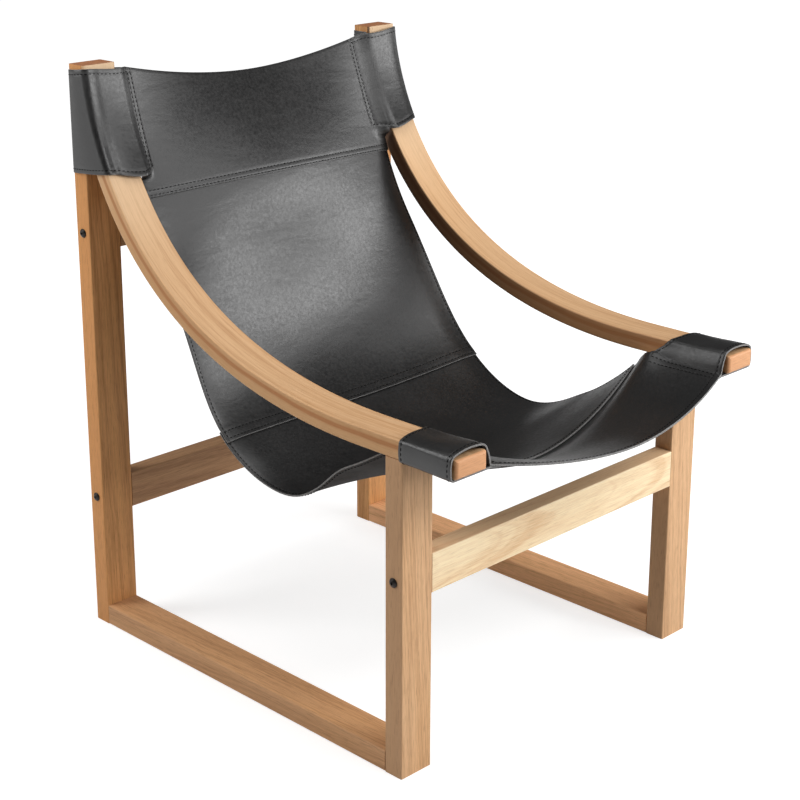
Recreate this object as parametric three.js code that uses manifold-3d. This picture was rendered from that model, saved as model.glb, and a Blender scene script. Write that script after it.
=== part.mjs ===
// Sling lounge chair: two doweled side frames, three bolted cross members and a leather sling.
// Lengths are in millimetres. X runs across the chair, Y towards the rear and Z up.
// While the pieces are made, Y is 0 at the front of the legs and Z is 0 at the floor.
import * as THREE from 'three';
import { mergeVertices } from 'three/addons/utils/BufferGeometryUtils.js';
import Module from 'manifold-3d';

const wasm = await Module();
wasm.setup();

// Overall sizes of the frame
const overallWidth = 650;
const frameDepth = 697;
const frameHeight = 908;
const armHeight = 468;
const armReach = 95;

// Timber sections
const memberWidth = 58;
const memberThickness = 32;
const crossHeight = 58;
const edgeRadius = 2;
const jointGap = 0.3;
const cutOverrun = 10;

// The bent arm: a level run, then one sweep that ends upright in front of the post
const armThickness = 27;
const armEdgeRadius = 3;
const armLevelRun = 173;
const armTopSetback = 9.4;
const armFrontPullShare = 0.906;
const armTopPullShare = 0.114;
const armSweepSteps = 20;

// The cross members' middles: two above the floor, one below the tops of the posts
const frontStretcherHeight = 291;
const rearStretcherHeight = 218;
const upperRailDrop = 257;

// Dowels
const dowelRadius = 4;
const dowelChamfer = 0.8;
const dowelClearance = 0.2;
const dowelEndGap = 0.5;
const dowelDepth = 20;
const armDowelDepth = 13;
const armDowelRiseShare = 0.24;
const sideDowelSpread = 28;
const crossDowelSpread = 34;

// Bolts and their cross nuts
const boltRadius = 3;
const boltLength = 90;
const boltClearance = 0.3;
const boltTipRoom = 3;
const headRadius = 7;
const headHeight = 4;
const headRim = 0.8;
const socketRadius = 2.3;
const socketDepth = 2.2;
const nutInset = 26;
const nutRadius = 5;
const nutLength = 20;
const nutClearance = 0.3;
const nutChamfer = 0.6;
const nutSlotWidth = 1.4;
const nutSlotDepth = 1.5;

// Leather
const leatherThickness = 3;
const leatherGap = 0.3;
const layerGap = 0.5;
const seamLap = 20;
const sagPower = 1.8;

// Top sleeves, which the head band forms round the posts
const topSleeveDrop = 9;
const topSleeveHemLift = 9;
const sheetSetback = 3;
const topHemSag = 33;
const topHemSetback = 7;
const topFlapLength = 34;
const flapBend = 4;

// Front sleeves, which the front band forms round the arms
const frontSleeveSetback = 5;
const frontHemBulge = 41;
const frontHemSag = 32;
const sheetRise = 1.5;
const sleeveFoot = 11;
const sleeveRearLow = 19;
const sleeveRearInner = 12;
const sleeveRearOuter = 4;
const sleeveRearUnder = -0.6;
const sleeveCrown = 6;
const frontFlapLength = 20;

// Facets
const barCornerSteps = 3;
const bendSteps = 3;
const boreSides = 12;
const dowelSides = 10;
const headSides = 18;
const domeSteps = 4;
const hexSides = 6;
const sheetColumns = 16;
const topSleeveSteps = 5;
const frontSleeveSteps = 5;
const backSteps = 9;
const seatSteps = 12;
const slopeShare = 0.001;

// Sizes that follow from the ones above
const outerHalf = overallWidth / 2;
const innerHalf = outerHalf - memberWidth;
const memberMiddle = outerHalf - memberWidth / 2;
const postFront = frameDepth - memberThickness;
const postMiddle = frameDepth - memberThickness / 2;
const legMiddle = memberThickness / 2;
const armTop = armHeight + armThickness;
const leatherLay = leatherGap + leatherThickness / 2;

// The sling between its hems: shares of the frame's depth, its height and the room between the arms
// [edge depth, edge height, middle depth, middle height, half width]
const slingStationShares = [
  [0.878, 0.775, 0.857, 0.779, 0.959],
  [0.793, 0.654, 0.796, 0.649, 0.985],
  [0.699, 0.525, 0.736, 0.504, 0.996],
  [0.591, 0.414, 0.617, 0.399, 0.998],
  [0.409, 0.361, 0.423, 0.359, 0.998],
  [0.275, 0.407, 0.275, 0.367, 0.996],
  [0.202, 0.44, 0.187, 0.38, 0.993],
  [0.105, 0.494, 0.069, 0.407, 0.975],
  [0.052, 0.517, -0.013, 0.432, 0.955],
];
const topHalfWidthShare = 0.936;
const frontHalfWidthShare = 0.955;

// Shares of the way from the top hem to the front hem; each row above is one station on that way
const stationShare = 1 / (slingStationShares.length + 1);
const topSleeveEndShare = 0.76 * stationShare;
const headSeamShare = stationShare;
const seatSeamShare = 4 * stationShare;
const frontSeamShare = 8 * stationShare;
const frontSleeveShare = 9 * stationShare;

const wood = new THREE.MeshStandardMaterial({ color: 0xc48f5c, roughness: 0.55, metalness: 0 });
const beech = new THREE.MeshStandardMaterial({ color: 0xd8b98c, roughness: 0.7, metalness: 0 });
const leather = new THREE.MeshStandardMaterial({ color: 0x1b1b1c, roughness: 0.42, metalness: 0 });
const blackSteel = new THREE.MeshStandardMaterial({ color: 0x1d1b19, roughness: 0.38, metalness: 0.8 });
const zincSteel = new THREE.MeshStandardMaterial({ color: 0xb4b2ab, roughness: 0.35, metalness: 1 });

// Booleans

function solidOf(geometry) {
  const bare = geometry.clone();
  bare.deleteAttribute('normal');
  bare.deleteAttribute('uv');
  const merged = mergeVertices(bare);
  return new wasm.Manifold(new wasm.Mesh({
    numProp: 3,
    vertProperties: merged.attributes.position.array,
    triVerts: new Uint32Array(merged.index.array),
  }));
}

function geometryOf(solid) {
  const mesh = solid.getMesh();
  const geometry = new THREE.BufferGeometry();
  geometry.setAttribute('position', new THREE.BufferAttribute(mesh.vertProperties, 3));
  geometry.setIndex(new THREE.BufferAttribute(mesh.triVerts, 1));
  const facets = geometry.toNonIndexed();
  facets.computeVertexNormals();
  return facets;
}

function cut(geometry, cutters) {
  let solid = solidOf(geometry);
  for (const cutter of cutters) solid = solid.subtract(solidOf(cutter));
  return geometryOf(solid);
}

// A named piece whose own origin is `place`; its cutters are given in the chair's frame.
function piece(name, material, geometry, place, cutters = []) {
  const local = cutters.map((cutter) => cutter.clone().translate(-place.x, -place.y, -place.z));
  const mesh = new THREE.Mesh(local.length ? cut(geometry, local) : geometry, material);
  mesh.name = name;
  mesh.position.copy(place);
  return mesh;
}

// Turned and drilled forms

const along = {
  x: new THREE.Vector3(1, 0, 0),
  y: new THREE.Vector3(0, 1, 0),
  z: new THREE.Vector3(0, 0, 1),
};

function stand(geometry, axis, start) {
  geometry.applyQuaternion(new THREE.Quaternion().setFromUnitVectors(along.y, axis));
  return geometry.translate(start.x, start.y, start.z);
}

function bore(radius, start, end) {
  const length = start.distanceTo(end);
  const cylinder = new THREE.CylinderGeometry(radius, radius, length, boreSides);
  cylinder.translate(0, length / 2, 0);
  return stand(cylinder, end.clone().sub(start).normalize(), start);
}

function turned(profile, sides) {
  return new THREE.LatheGeometry(profile.map(([r, y]) => new THREE.Vector2(r, y)), sides);
}

// Bars of timber with softened long edges

function roundedSection(width, height, radius) {
  const x = width / 2;
  const y = height / 2;
  const shape = new THREE.Shape();
  shape.absarc(x - radius, y - radius, radius, 0, Math.PI / 2);
  shape.absarc(radius - x, y - radius, radius, Math.PI / 2, Math.PI);
  shape.absarc(radius - x, radius - y, radius, Math.PI, 1.5 * Math.PI);
  shape.absarc(x - radius, radius - y, radius, 1.5 * Math.PI, 2 * Math.PI);
  return shape;
}

// A bar whose grain runs up Z from the origin
function bar(width, height, length) {
  const section = roundedSection(width, height, edgeRadius);
  const options = { depth: length, bevelEnabled: false, curveSegments: barCornerSteps };
  return new THREE.ExtrudeGeometry(section, options);
}

// Dowels: `at` lies in the joint, and `before` and `after` are the depths on its two sides

function dowelBore({ at, axis, before, after }) {
  const start = at.clone().addScaledVector(axis, -before - dowelEndGap);
  const end = at.clone().addScaledVector(axis, after + dowelEndGap);
  return bore(dowelRadius + dowelClearance, start, end);
}

function dowel(name, joint) {
  const length = joint.before + joint.after;
  const profile = [
    [0, 0],
    [dowelRadius - dowelChamfer, 0],
    [dowelRadius, dowelChamfer],
    [dowelRadius, length - dowelChamfer],
    [dowelRadius - dowelChamfer, length],
    [0, length],
  ];
  const geometry = stand(turned(profile, dowelSides), joint.axis, new THREE.Vector3());
  const start = joint.at.clone().addScaledVector(joint.axis, -joint.before);
  return piece(name, beech, geometry, start);
}

function dowelPair(joint, spread) {
  return [-1, 1].map((end) => ({
    ...joint,
    at: joint.at.clone().addScaledVector(spread, end / 2),
  }));
}

function armLegDowels(side) {
  const at = new THREE.Vector3(side * memberMiddle, legMiddle, armHeight);
  const joint = { at, axis: along.z, before: dowelDepth, after: armDowelDepth };
  return dowelPair(joint, new THREE.Vector3(sideDowelSpread, 0, 0));
}

function armPostDowels(side) {
  const at = new THREE.Vector3(side * memberMiddle, postFront, armDowelHeight);
  const joint = { at, axis: along.y, before: armDowelDepth, after: dowelDepth };
  return dowelPair(joint, new THREE.Vector3(sideDowelSpread, 0, 0));
}

function railDowels(side, depth) {
  const at = new THREE.Vector3(side * memberMiddle, depth, memberThickness / 2);
  const joint = { at, axis: along.y, before: dowelDepth, after: dowelDepth };
  return dowelPair(joint, new THREE.Vector3(sideDowelSpread, 0, 0));
}

function crossDowels(side, cross) {
  const at = new THREE.Vector3(side * innerHalf, cross.depth, cross.height);
  const joint = { at, axis: along.x, before: dowelDepth, after: dowelDepth };
  return dowelPair(joint, new THREE.Vector3(0, 0, crossDowelSpread));
}

// Bolts: one through each post or leg into the end of a cross member, held by a cross nut

const crosses = [
  { name: 'front_stretcher', depth: legMiddle, height: frontStretcherHeight },
  { name: 'rear_stretcher', depth: postMiddle, height: rearStretcherHeight },
  { name: 'upper_rear_rail', depth: postMiddle, height: frameHeight - upperRailDrop },
];

function boltBore(side, cross) {
  const start = new THREE.Vector3(side * (outerHalf + cutOverrun), cross.depth, cross.height);
  const reach = outerHalf - boltLength - boltTipRoom;
  const end = new THREE.Vector3(side * reach, cross.depth, cross.height);
  return bore(boltRadius + boltClearance, start, end);
}

function nutMiddle(side, cross) {
  return new THREE.Vector3(side * (innerHalf - nutInset), cross.depth, cross.height);
}

function nutBore(side, cross) {
  const start = nutMiddle(side, cross);
  const end = start.clone();
  start.y -= nutLength / 2 + nutClearance;
  end.y += memberThickness / 2 + cutOverrun;
  return bore(nutRadius + nutClearance, start, end);
}

// The button head's dome is an arc from its rim to its crown.
function domeProfile() {
  const rise = headHeight - headRim;
  const sphere = (headRadius * headRadius + rise * rise) / (2 * rise);
  const spread = Math.asin(headRadius / sphere);
  return Array.from({ length: domeSteps + 1 }, (_, i) => {
    const angle = spread * (1 - i / domeSteps);
    return [sphere * Math.sin(angle), headHeight - sphere * (1 - Math.cos(angle))];
  });
}

function bolt(side, cross) {
  const profile = [
    [0, -boltLength],
    [boltRadius, -boltLength],
    [boltRadius, 0],
    [headRadius, 0],
    ...domeProfile(),
  ];
  const socketLength = socketDepth + cutOverrun;
  const socket = new THREE.CylinderGeometry(socketRadius, socketRadius, socketLength, hexSides);
  socket.translate(0, headHeight - socketDepth + socketLength / 2, 0);
  const outward = along.x.clone().multiplyScalar(side);
  const geometry = stand(cut(turned(profile, headSides), [socket]), outward, new THREE.Vector3());
  const place = new THREE.Vector3(side * (outerHalf + jointGap), cross.depth, cross.height);
  return piece(sideName(side, cross.name + '_bolt'), blackSteel, geometry, place);
}

function crossNut(side, cross) {
  const end = nutLength / 2;
  const profile = [
    [0, -end],
    [nutRadius - nutChamfer, -end],
    [nutRadius, nutChamfer - end],
    [nutRadius, end - nutChamfer],
    [nutRadius - nutChamfer, end],
    [0, end],
  ];
  const slot = new THREE.BoxGeometry(2 * nutRadius + cutOverrun, nutSlotDepth, nutSlotWidth);
  slot.translate(0, end - nutSlotDepth / 2, 0);
  const place = nutMiddle(side, cross);
  const body = cut(turned(profile, headSides), [slot]);
  const name = sideName(side, cross.name + '_nut');
  return piece(name, zincSteel, body, place, [boltBore(side, cross)]);
}

// The side frames. The left side is the sitter's left, at +X.

function sideName(side, name) {
  return (side > 0 ? 'left_' : 'right_') + name;
}

function rearPost(side) {
  const cutters = [
    ...armPostDowels(side).map(dowelBore),
    ...railDowels(side, postFront).map(dowelBore),
  ];
  for (const cross of crosses.filter((item) => item.depth === postMiddle)) {
    cutters.push(boltBore(side, cross), ...crossDowels(side, cross).map(dowelBore));
  }
  const geometry = bar(memberWidth, memberThickness, frameHeight);
  const place = new THREE.Vector3(side * memberMiddle, postMiddle, 0);
  return piece(sideName(side, 'rear_post'), wood, geometry, place, cutters);
}

function frontLeg(side) {
  const cutters = [
    ...armLegDowels(side).map(dowelBore),
    ...railDowels(side, memberThickness).map(dowelBore),
  ];
  for (const cross of crosses.filter((item) => item.depth === legMiddle)) {
    cutters.push(boltBore(side, cross), ...crossDowels(side, cross).map(dowelBore));
  }
  const geometry = bar(memberWidth, memberThickness, armHeight - jointGap);
  const place = new THREE.Vector3(side * memberMiddle, legMiddle, 0);
  return piece(sideName(side, 'front_leg'), wood, geometry, place, cutters);
}

function bottomRail(side) {
  const length = postFront - memberThickness - 2 * jointGap;
  const geometry = bar(memberWidth, memberThickness, length).rotateX(-Math.PI / 2);
  const cutters = [
    ...railDowels(side, memberThickness).map(dowelBore),
    ...railDowels(side, postFront).map(dowelBore),
  ];
  const place = new THREE.Vector3(side * memberMiddle, memberThickness + jointGap, memberThickness / 2);
  return piece(sideName(side, 'bottom_rail'), wood, geometry, place, cutters);
}

// The arm's lower and upper faces from the side, as [Y, Z] points from the sweep's start to its top
const sweepStart = armLevelRun - armReach;
const sweepTop = frameDepth - armTopSetback;
const armSweep = new THREE.CubicBezierCurve(
  new THREE.Vector2(sweepStart, armHeight),
  new THREE.Vector2(sweepStart + armFrontPullShare * (sweepTop - sweepStart), armHeight),
  new THREE.Vector2(sweepTop, frameHeight - armTopPullShare * (frameHeight - armHeight)),
  new THREE.Vector2(sweepTop, frameHeight),
);

function armFace(offset) {
  return Array.from({ length: armSweepSteps + 1 }, (_, i) => {
    const point = armSweep.getPointAt(i / armSweepSteps);
    const tangent = armSweep.getTangentAt(i / armSweepSteps);
    return new THREE.Vector2(point.x - offset * tangent.y, point.y + offset * tangent.x);
  });
}

const armRearFace = armFace(0);
const armFrontFace = armFace(armThickness);

// Where a face of the arm passes a value of one coordinate: its other coordinate there
function faceAt(face, value, known, wanted) {
  const next = face.findIndex((point) => point[known] >= value);
  const above = face[next];
  const below = face[next - 1];
  return THREE.MathUtils.mapLinear(value, below[known], above[known], below[wanted], above[wanted]);
}

function armFrontAt(height) {
  return faceAt(armFrontFace, height, 'y', 'x');
}

// The arm lies on the post from where its rear face reaches the post's front up to the top.
const armLanding = faceAt(armRearFace, postFront, 'x', 'y');
const armDowelHeight = THREE.MathUtils.lerp(armLanding, frameHeight, armDowelRiseShare);

// A profile drawn in Y and Z, made as wide as a side member with rounded long edges
function armForm() {
  const outline = new THREE.Shape([
    new THREE.Vector2(-armReach, armHeight),
    ...armRearFace,
    ...armFrontFace.toReversed(),
    new THREE.Vector2(-armReach, armTop),
  ]);
  const depth = memberWidth - 2 * armEdgeRadius;
  const geometry = new THREE.ExtrudeGeometry(outline, {
    depth,
    bevelSize: armEdgeRadius,
    bevelOffset: -armEdgeRadius,
    bevelThickness: armEdgeRadius,
    bevelSegments: bendSteps,
  });
  geometry.translate(0, 0, -depth / 2);
  return geometry.applyMatrix4(new THREE.Matrix4().makeBasis(along.y, along.z, along.x));
}

function arm(side) {
  const behind = new THREE.BoxGeometry(2 * memberWidth, memberThickness, 2 * frameHeight);
  const seat = postFront - jointGap;
  behind.translate(side * memberMiddle, seat + memberThickness / 2, frameHeight);
  const cutters = [
    behind,
    ...armLegDowels(side).map(dowelBore),
    ...armPostDowels(side).map(dowelBore),
  ];
  const place = new THREE.Vector3(side * memberMiddle, 0, 0);
  return piece(sideName(side, 'arm'), wood, armForm(), place, cutters);
}

function sideFrame(side) {
  const group = new THREE.Group();
  group.add(rearPost(side), frontLeg(side), bottomRail(side), arm(side));
  const joints = {
    arm_leg_dowel: armLegDowels(side),
    arm_post_dowel: armPostDowels(side),
    rail_leg_dowel: railDowels(side, memberThickness),
    rail_post_dowel: railDowels(side, postFront),
  };
  for (const [name, pair] of Object.entries(joints)) {
    pair.forEach((joint, i) => group.add(dowel(sideName(side, `${name}_${i + 1}`), joint)));
  }
  return group;
}

// Cross members with the fittings at their two ends

function crossMember(cross) {
  const length = 2 * (innerHalf - jointGap);
  const geometry = bar(crossHeight, memberThickness, length).rotateY(Math.PI / 2);
  const cutters = [-1, 1].flatMap((side) => [
    boltBore(side, cross),
    nutBore(side, cross),
    ...crossDowels(side, cross).map(dowelBore),
  ]);
  const place = new THREE.Vector3(-length / 2, cross.depth, cross.height);
  return piece(cross.name, wood, geometry, place, cutters);
}

function crossGroup(cross) {
  const group = new THREE.Group();
  group.add(crossMember(cross));
  for (const side of [-1, 1]) {
    group.add(bolt(side, cross), crossNut(side, cross));
    crossDowels(side, cross).forEach((joint, i) => {
      group.add(dowel(sideName(side, `${cross.name}_dowel_${i + 1}`), joint));
    });
  }
  return group;
}

// The sling's middle surface: an edge line and a middle line, joined across by a power curve

function slingLines() {
  const topHeight = frameHeight - topSleeveDrop;
  const topDepth = armFrontAt(topHeight) - leatherLay + sheetSetback;
  const frontDepth = frontSleeveSetback - armReach;
  const frontHeight = armHeight + sheetRise;
  const topHalf = topHalfWidthShare * innerHalf;
  const frontHalf = frontHalfWidthShare * innerHalf;
  const stations = [
    [topDepth, topHeight, topDepth + topHemSetback, topHeight - topHemSag, topHalf],
    ...slingStationShares.map(([edgeDepth, edgeHeight, depth, height, half]) => [
      edgeDepth * frameDepth,
      edgeHeight * frameHeight,
      depth * frameDepth,
      height * frameHeight,
      half * innerHalf,
    ]),
    [frontDepth, frontHeight, frontDepth - frontHemBulge, frontHeight - frontHemSag, frontHalf],
  ];
  return {
    edge: new THREE.CatmullRomCurve3(stations.map(([y, z, , , half]) => new THREE.Vector3(half, y, z))),
    middle: new THREE.CatmullRomCurve3(stations.map(([, , y, z]) => new THREE.Vector3(0, y, z))),
  };
}

const sling = slingLines();

// `across` runs from -1 to 1 between the sling's edges, and `way` from 0 at the top hem to 1 at the front.
function slingPoint(across, way) {
  const edge = sling.edge.getPoint(way);
  const point = sling.middle.getPoint(way).lerp(edge, Math.abs(across) ** sagPower);
  point.x = across * edge.x;
  return point;
}

// The same point, lifted off the surface towards the sitter
function liftedPoint(across, way, lift) {
  const before = Math.max(way - slopeShare, 0);
  const after = Math.min(way + slopeShare, 1);
  const down = slingPoint(across, after).sub(slingPoint(across, before));
  const left = Math.max(across - slopeShare, -1);
  const right = Math.min(across + slopeShare, 1);
  const over = slingPoint(right, way).sub(slingPoint(left, way));
  return slingPoint(across, way).addScaledVector(down.cross(over).normalize(), lift);
}

// Where a length of leather begins that ends at a seam
function lapStart(length, seamShare) {
  const from = sling.middle.getPoint(seamShare - stationShare);
  return seamShare - stationShare * length / from.distanceTo(sling.middle.getPoint(seamShare));
}

const lapLift = (leatherThickness + layerGap) / 2;

// A panel lies under the one above it and over the one below it.
function panelLift(way, top, bottom) {
  return lapLift * (2 * THREE.MathUtils.smoothstep(way, top, bottom) - 1);
}

function spread(from, to, steps) {
  return Array.from({ length: steps + 1 }, (_, i) => THREE.MathUtils.lerp(from, to, i / steps));
}

const columnShares = spread(-1, 1, sheetColumns);

// A closed sheet round a grid of middle points, over the cells that `covers` accepts
function thickSheet(grid, covers = () => true) {
  const rows = grid.length - 1;
  const columns = grid[0].length - 1;
  const inside = (row, column) =>
    row >= 0 && row < rows && column >= 0 && column < columns && covers(row, column);
  const cells = [];
  for (let row = 0; row < rows; row++) {
    for (let column = 0; column < columns; column++) {
      if (inside(row, column)) cells.push([row, column]);
    }
  }
  const corners = ([row, column]) => [
    [row, column],
    [row + 1, column],
    [row + 1, column + 1],
    [row, column + 1],
  ];
  const normals = grid.map((line) => line.map(() => new THREE.Vector3()));
  for (const cell of cells) {
    const [a, b, c, d] = corners(cell).map(([row, column]) => grid[row][column]);
    const normal = c.clone().sub(a).cross(d.clone().sub(b));
    for (const [row, column] of corners(cell)) normals[row][column].add(normal);
  }
  const positions = [];
  const indices = [];
  const known = new Map();
  const vertex = ([row, column], face) => {
    const key = [row, column, face].join();
    if (!known.has(key)) {
      known.set(key, known.size);
      const lift = face * leatherThickness / 2;
      const normal = normals[row][column].clone().normalize();
      positions.push(...grid[row][column].clone().addScaledVector(normal, lift));
    }
    return known.get(key);
  };
  const quad = (a, b, c, d) => indices.push(a, b, c, a, c, d);
  for (const cell of cells) {
    const ring = corners(cell);
    const [a, b, c, d] = ring;
    quad(...[a, b, c, d].map((corner) => vertex(corner, 1)));
    quad(...[a, d, c, b].map((corner) => vertex(corner, -1)));
    const [row, column] = cell;
    const neighbours = [[row, column - 1], [row + 1, column], [row, column + 1], [row - 1, column]];
    neighbours.forEach((neighbour, i) => {
      if (inside(...neighbour)) return;
      const from = ring[i];
      const to = ring[(i + 1) % ring.length];
      quad(vertex(to, 1), vertex(from, 1), vertex(from, -1), vertex(to, -1));
    });
  }
  const geometry = new THREE.BufferGeometry();
  geometry.setAttribute('position', new THREE.Float32BufferAttribute(positions, 3));
  geometry.setIndex(indices);
  geometry.computeVertexNormals();
  return geometry;
}

// Back and seat: plain panels between two seams

function panel(name, topSeam, bottomSeam, steps) {
  const bottom = lapStart(seamLap, bottomSeam);
  const ways = [lapStart(seamLap, topSeam), ...spread(topSeam, bottom, steps), bottomSeam];
  const grid = ways.map((way) =>
    columnShares.map((across) => liftedPoint(across, way, panelLift(way, topSeam, bottom))));
  return piece(name, leather, thickSheet(grid), new THREE.Vector3());
}

// Points on a bend of a sleeve's path, between two angles in quarter turns
function bend(x, y, radius, fromQuarter, toQuarter) {
  return spread(fromQuarter, toQuarter, bendSteps).map((quarter) => {
    const angle = quarter * Math.PI / 2;
    return [x + radius * Math.cos(angle), y + radius * Math.sin(angle)];
  });
}

// Both ends of a row: the path on the +X side is mirrored to the other side.
function bothSides(middleRow, wrap) {
  const mirrored = wrap.map((point) => point.clone().setX(-point.x)).reverse();
  return [...mirrored, ...middleRow, ...wrap];
}

// Head band: it crosses in front of the posts, turns round each of them and ends in a sewn flap.

function topSleeveRow(way) {
  const edge = slingPoint(1, way);
  const front = armFrontAt(edge.z) - leatherLay;
  const inner = innerHalf - leatherLay;
  const outer = outerHalf + leatherLay;
  const rear = frameDepth + leatherLay;
  const radius = edgeRadius + leatherLay;
  const flapDepth = edge.y + leatherThickness + layerGap;
  const ontoArm = spread(0, 1, bendSteps).slice(1).map((share) => [
    THREE.MathUtils.lerp(edge.x, innerHalf, share),
    THREE.MathUtils.lerp(edge.y, front, THREE.MathUtils.smoothstep(share, 0, 1)),
  ]);
  const lift = topSleeveHemLift * way / topSleeveEndShare;
  const rise = (x, y) =>
    lift * (rear - y) / (rear - front) * THREE.MathUtils.smoothstep(x, inner, outer);
  const plan = [
    ...ontoArm,
    ...bend(outer - radius, front + radius, radius, -1, 0),
    ...bend(outer - radius, rear - radius, radius, 0, 1),
    ...bend(inner + radius, rear - radius, radius, 1, 2),
    ...bend(inner - flapBend, flapDepth + flapBend, flapBend, 0, -1),
  ];
  const flapEnd = inner - flapBend - topFlapLength;
  const flap = spread(edge.x, flapEnd, 2).slice(1).map((x) =>
    liftedPoint(x / edge.x, way, -leatherThickness - layerGap));
  return [...plan.map(([x, y]) => new THREE.Vector3(x, y, edge.z + rise(x, y))), ...flap];
}

function headBand() {
  const sleeveRows = spread(0, topSleeveEndShare, topSleeveSteps);
  const grid = [...sleeveRows, lapStart(seamLap, headSeamShare), headSeamShare].map((way) => {
    const lift = way > topSleeveEndShare ? lapLift : 0;
    const middleRow = columnShares.map((across) => liftedPoint(across, way, lift));
    return bothSides(middleRow, topSleeveRow(Math.min(way, topSleeveEndShare)));
  });
  const wrapped = (grid[0].length - columnShares.length) / 2;
  const covers = (row, column) =>
    row < sleeveRows.length - 1 || (column >= wrapped && column < wrapped + sheetColumns);
  return piece('head_band', leather, thickSheet(grid, covers), new THREE.Vector3());
}

// Front band: it rises from the seat, turns over each arm and ends in a flap sewn below the sheet.

function frontSleeveRow(share) {
  const edge = slingPoint(1, THREE.MathUtils.lerp(frontSleeveShare, 1, share));
  const inner = innerHalf - leatherLay;
  const outer = outerHalf + leatherLay;
  const over = armTop + leatherLay;
  const under = armHeight - leatherLay;
  const radius = armEdgeRadius + leatherLay;
  const mouth = frontSleeveSetback - armReach;
  const at = (x, z, rear) => new THREE.Vector3(x, THREE.MathUtils.lerp(rear, mouth, share), z);
  const foot = new THREE.QuadraticBezierCurve(
    new THREE.Vector2(edge.x, edge.z),
    new THREE.Vector2(inner, edge.z),
    new THREE.Vector2(inner, edge.z + sleeveFoot),
  );
  const rearOfSheet = slingPoint(1, frontSleeveShare).y;
  const rearOfFoot = spread(rearOfSheet, sleeveRearLow, bendSteps);
  const upTheArm = foot.getPoints(bendSteps).map(({ x, y }, i) => at(x, y, rearOfFoot[i])).slice(1);
  const crown = spread(0, 1, bendSteps).slice(1, -1).map((part) => at(
    THREE.MathUtils.lerp(inner + radius, outer - radius, part),
    over + share * sleeveCrown * Math.sin(part * Math.PI),
    THREE.MathUtils.lerp(sleeveRearInner, sleeveRearOuter, part),
  ));
  const depth = THREE.MathUtils.lerp(sleeveRearUnder, mouth, share);
  const way = THREE.MathUtils.mapLinear(depth, rearOfSheet, mouth, frontSleeveShare, 1);
  const flap = [edge.x, edge.x - frontFlapLength].map((x) =>
    liftedPoint(x / edge.x, way, -leatherThickness - layerGap).setY(depth));
  return [
    ...upTheArm,
    ...bend(inner + radius, over - radius, radius, 2, 1).map(([x, z]) => at(x, z, sleeveRearInner)),
    ...crown,
    ...bend(outer - radius, over - radius, radius, 1, 0).map(([x, z]) => at(x, z, sleeveRearOuter)),
    ...bend(outer - radius, under + radius, radius, 0, -1).map(([x, z]) => at(x, z, sleeveRearUnder)),
    at(innerHalf, under, sleeveRearUnder),
    ...flap,
  ];
}

function frontBand() {
  const halfway = (frontSeamShare + frontSleeveShare) / 2;
  const sheetRows = [lapStart(seamLap, frontSeamShare), frontSeamShare, halfway];
  const row = (way, share) => {
    const lift = -lapLift * (1 - THREE.MathUtils.smoothstep(way, frontSeamShare, frontSleeveShare));
    const middleRow = columnShares.map((across) => liftedPoint(across, way, lift));
    return bothSides(middleRow, frontSleeveRow(share));
  };
  const grid = [
    ...sheetRows.map((way) => row(way, 0)),
    ...spread(0, 1, frontSleeveSteps).map((share) =>
      row(THREE.MathUtils.lerp(frontSleeveShare, 1, share), share)),
  ];
  const wrapped = (grid[0].length - columnShares.length) / 2;
  const covers = (line, column) =>
    line >= sheetRows.length || (column >= wrapped && column < wrapped + sheetColumns);
  return piece('front_band', leather, thickSheet(grid, covers), new THREE.Vector3());
}

const chair = new THREE.Group();
chair.name = 'sling_lounge_chair';
for (const side of [1, -1]) chair.add(sideFrame(side));
for (const cross of crosses) chair.add(crossGroup(cross));
chair.add(
  headBand(),
  panel('back_panel', headSeamShare, seatSeamShare, backSteps),
  panel('seat_panel', seatSeamShare, frontSeamShare, seatSteps),
  frontBand(),
);

// The origin is the middle of the chair's footprint, on the floor.
const bounds = new THREE.Box3().setFromObject(chair);
const middle = bounds.getCenter(new THREE.Vector3());
chair.position.set(-middle.x, -middle.y, -bounds.min.z);

export default chair;
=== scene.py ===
"""Sling lounge chair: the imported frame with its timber, leather, thread and steel finishes."""

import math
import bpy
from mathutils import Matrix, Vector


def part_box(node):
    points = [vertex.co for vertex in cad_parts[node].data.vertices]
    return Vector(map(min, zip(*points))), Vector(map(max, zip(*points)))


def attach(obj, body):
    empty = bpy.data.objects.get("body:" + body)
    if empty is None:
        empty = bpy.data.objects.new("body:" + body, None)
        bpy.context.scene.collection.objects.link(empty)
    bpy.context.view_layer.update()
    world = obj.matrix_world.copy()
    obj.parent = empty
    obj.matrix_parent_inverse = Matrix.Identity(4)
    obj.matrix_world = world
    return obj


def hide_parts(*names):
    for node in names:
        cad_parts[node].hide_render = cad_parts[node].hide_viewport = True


bl_info = {
    "name": "Sling Lounge Chair",
    "version": (1, 0, 0),
    "blender": (4, 5, 0),
    "location": "View3D > Sidebar > Chair",
    "description": "Dresses a sling lounge chair in oiled timber and black leather",
    "category": "Object",
}

import bpy
import numpy as np
from bpy.props import FloatProperty, FloatVectorProperty, PointerProperty
from mathutils import Matrix, Vector

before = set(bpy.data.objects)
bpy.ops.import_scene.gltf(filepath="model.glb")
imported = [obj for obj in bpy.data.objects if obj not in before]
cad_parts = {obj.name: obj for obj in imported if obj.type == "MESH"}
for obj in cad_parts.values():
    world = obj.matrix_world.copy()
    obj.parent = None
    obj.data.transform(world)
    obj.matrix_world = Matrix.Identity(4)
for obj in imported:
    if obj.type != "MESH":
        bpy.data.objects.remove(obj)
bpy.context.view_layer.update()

MM = 0.001
BODY = "root"

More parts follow.
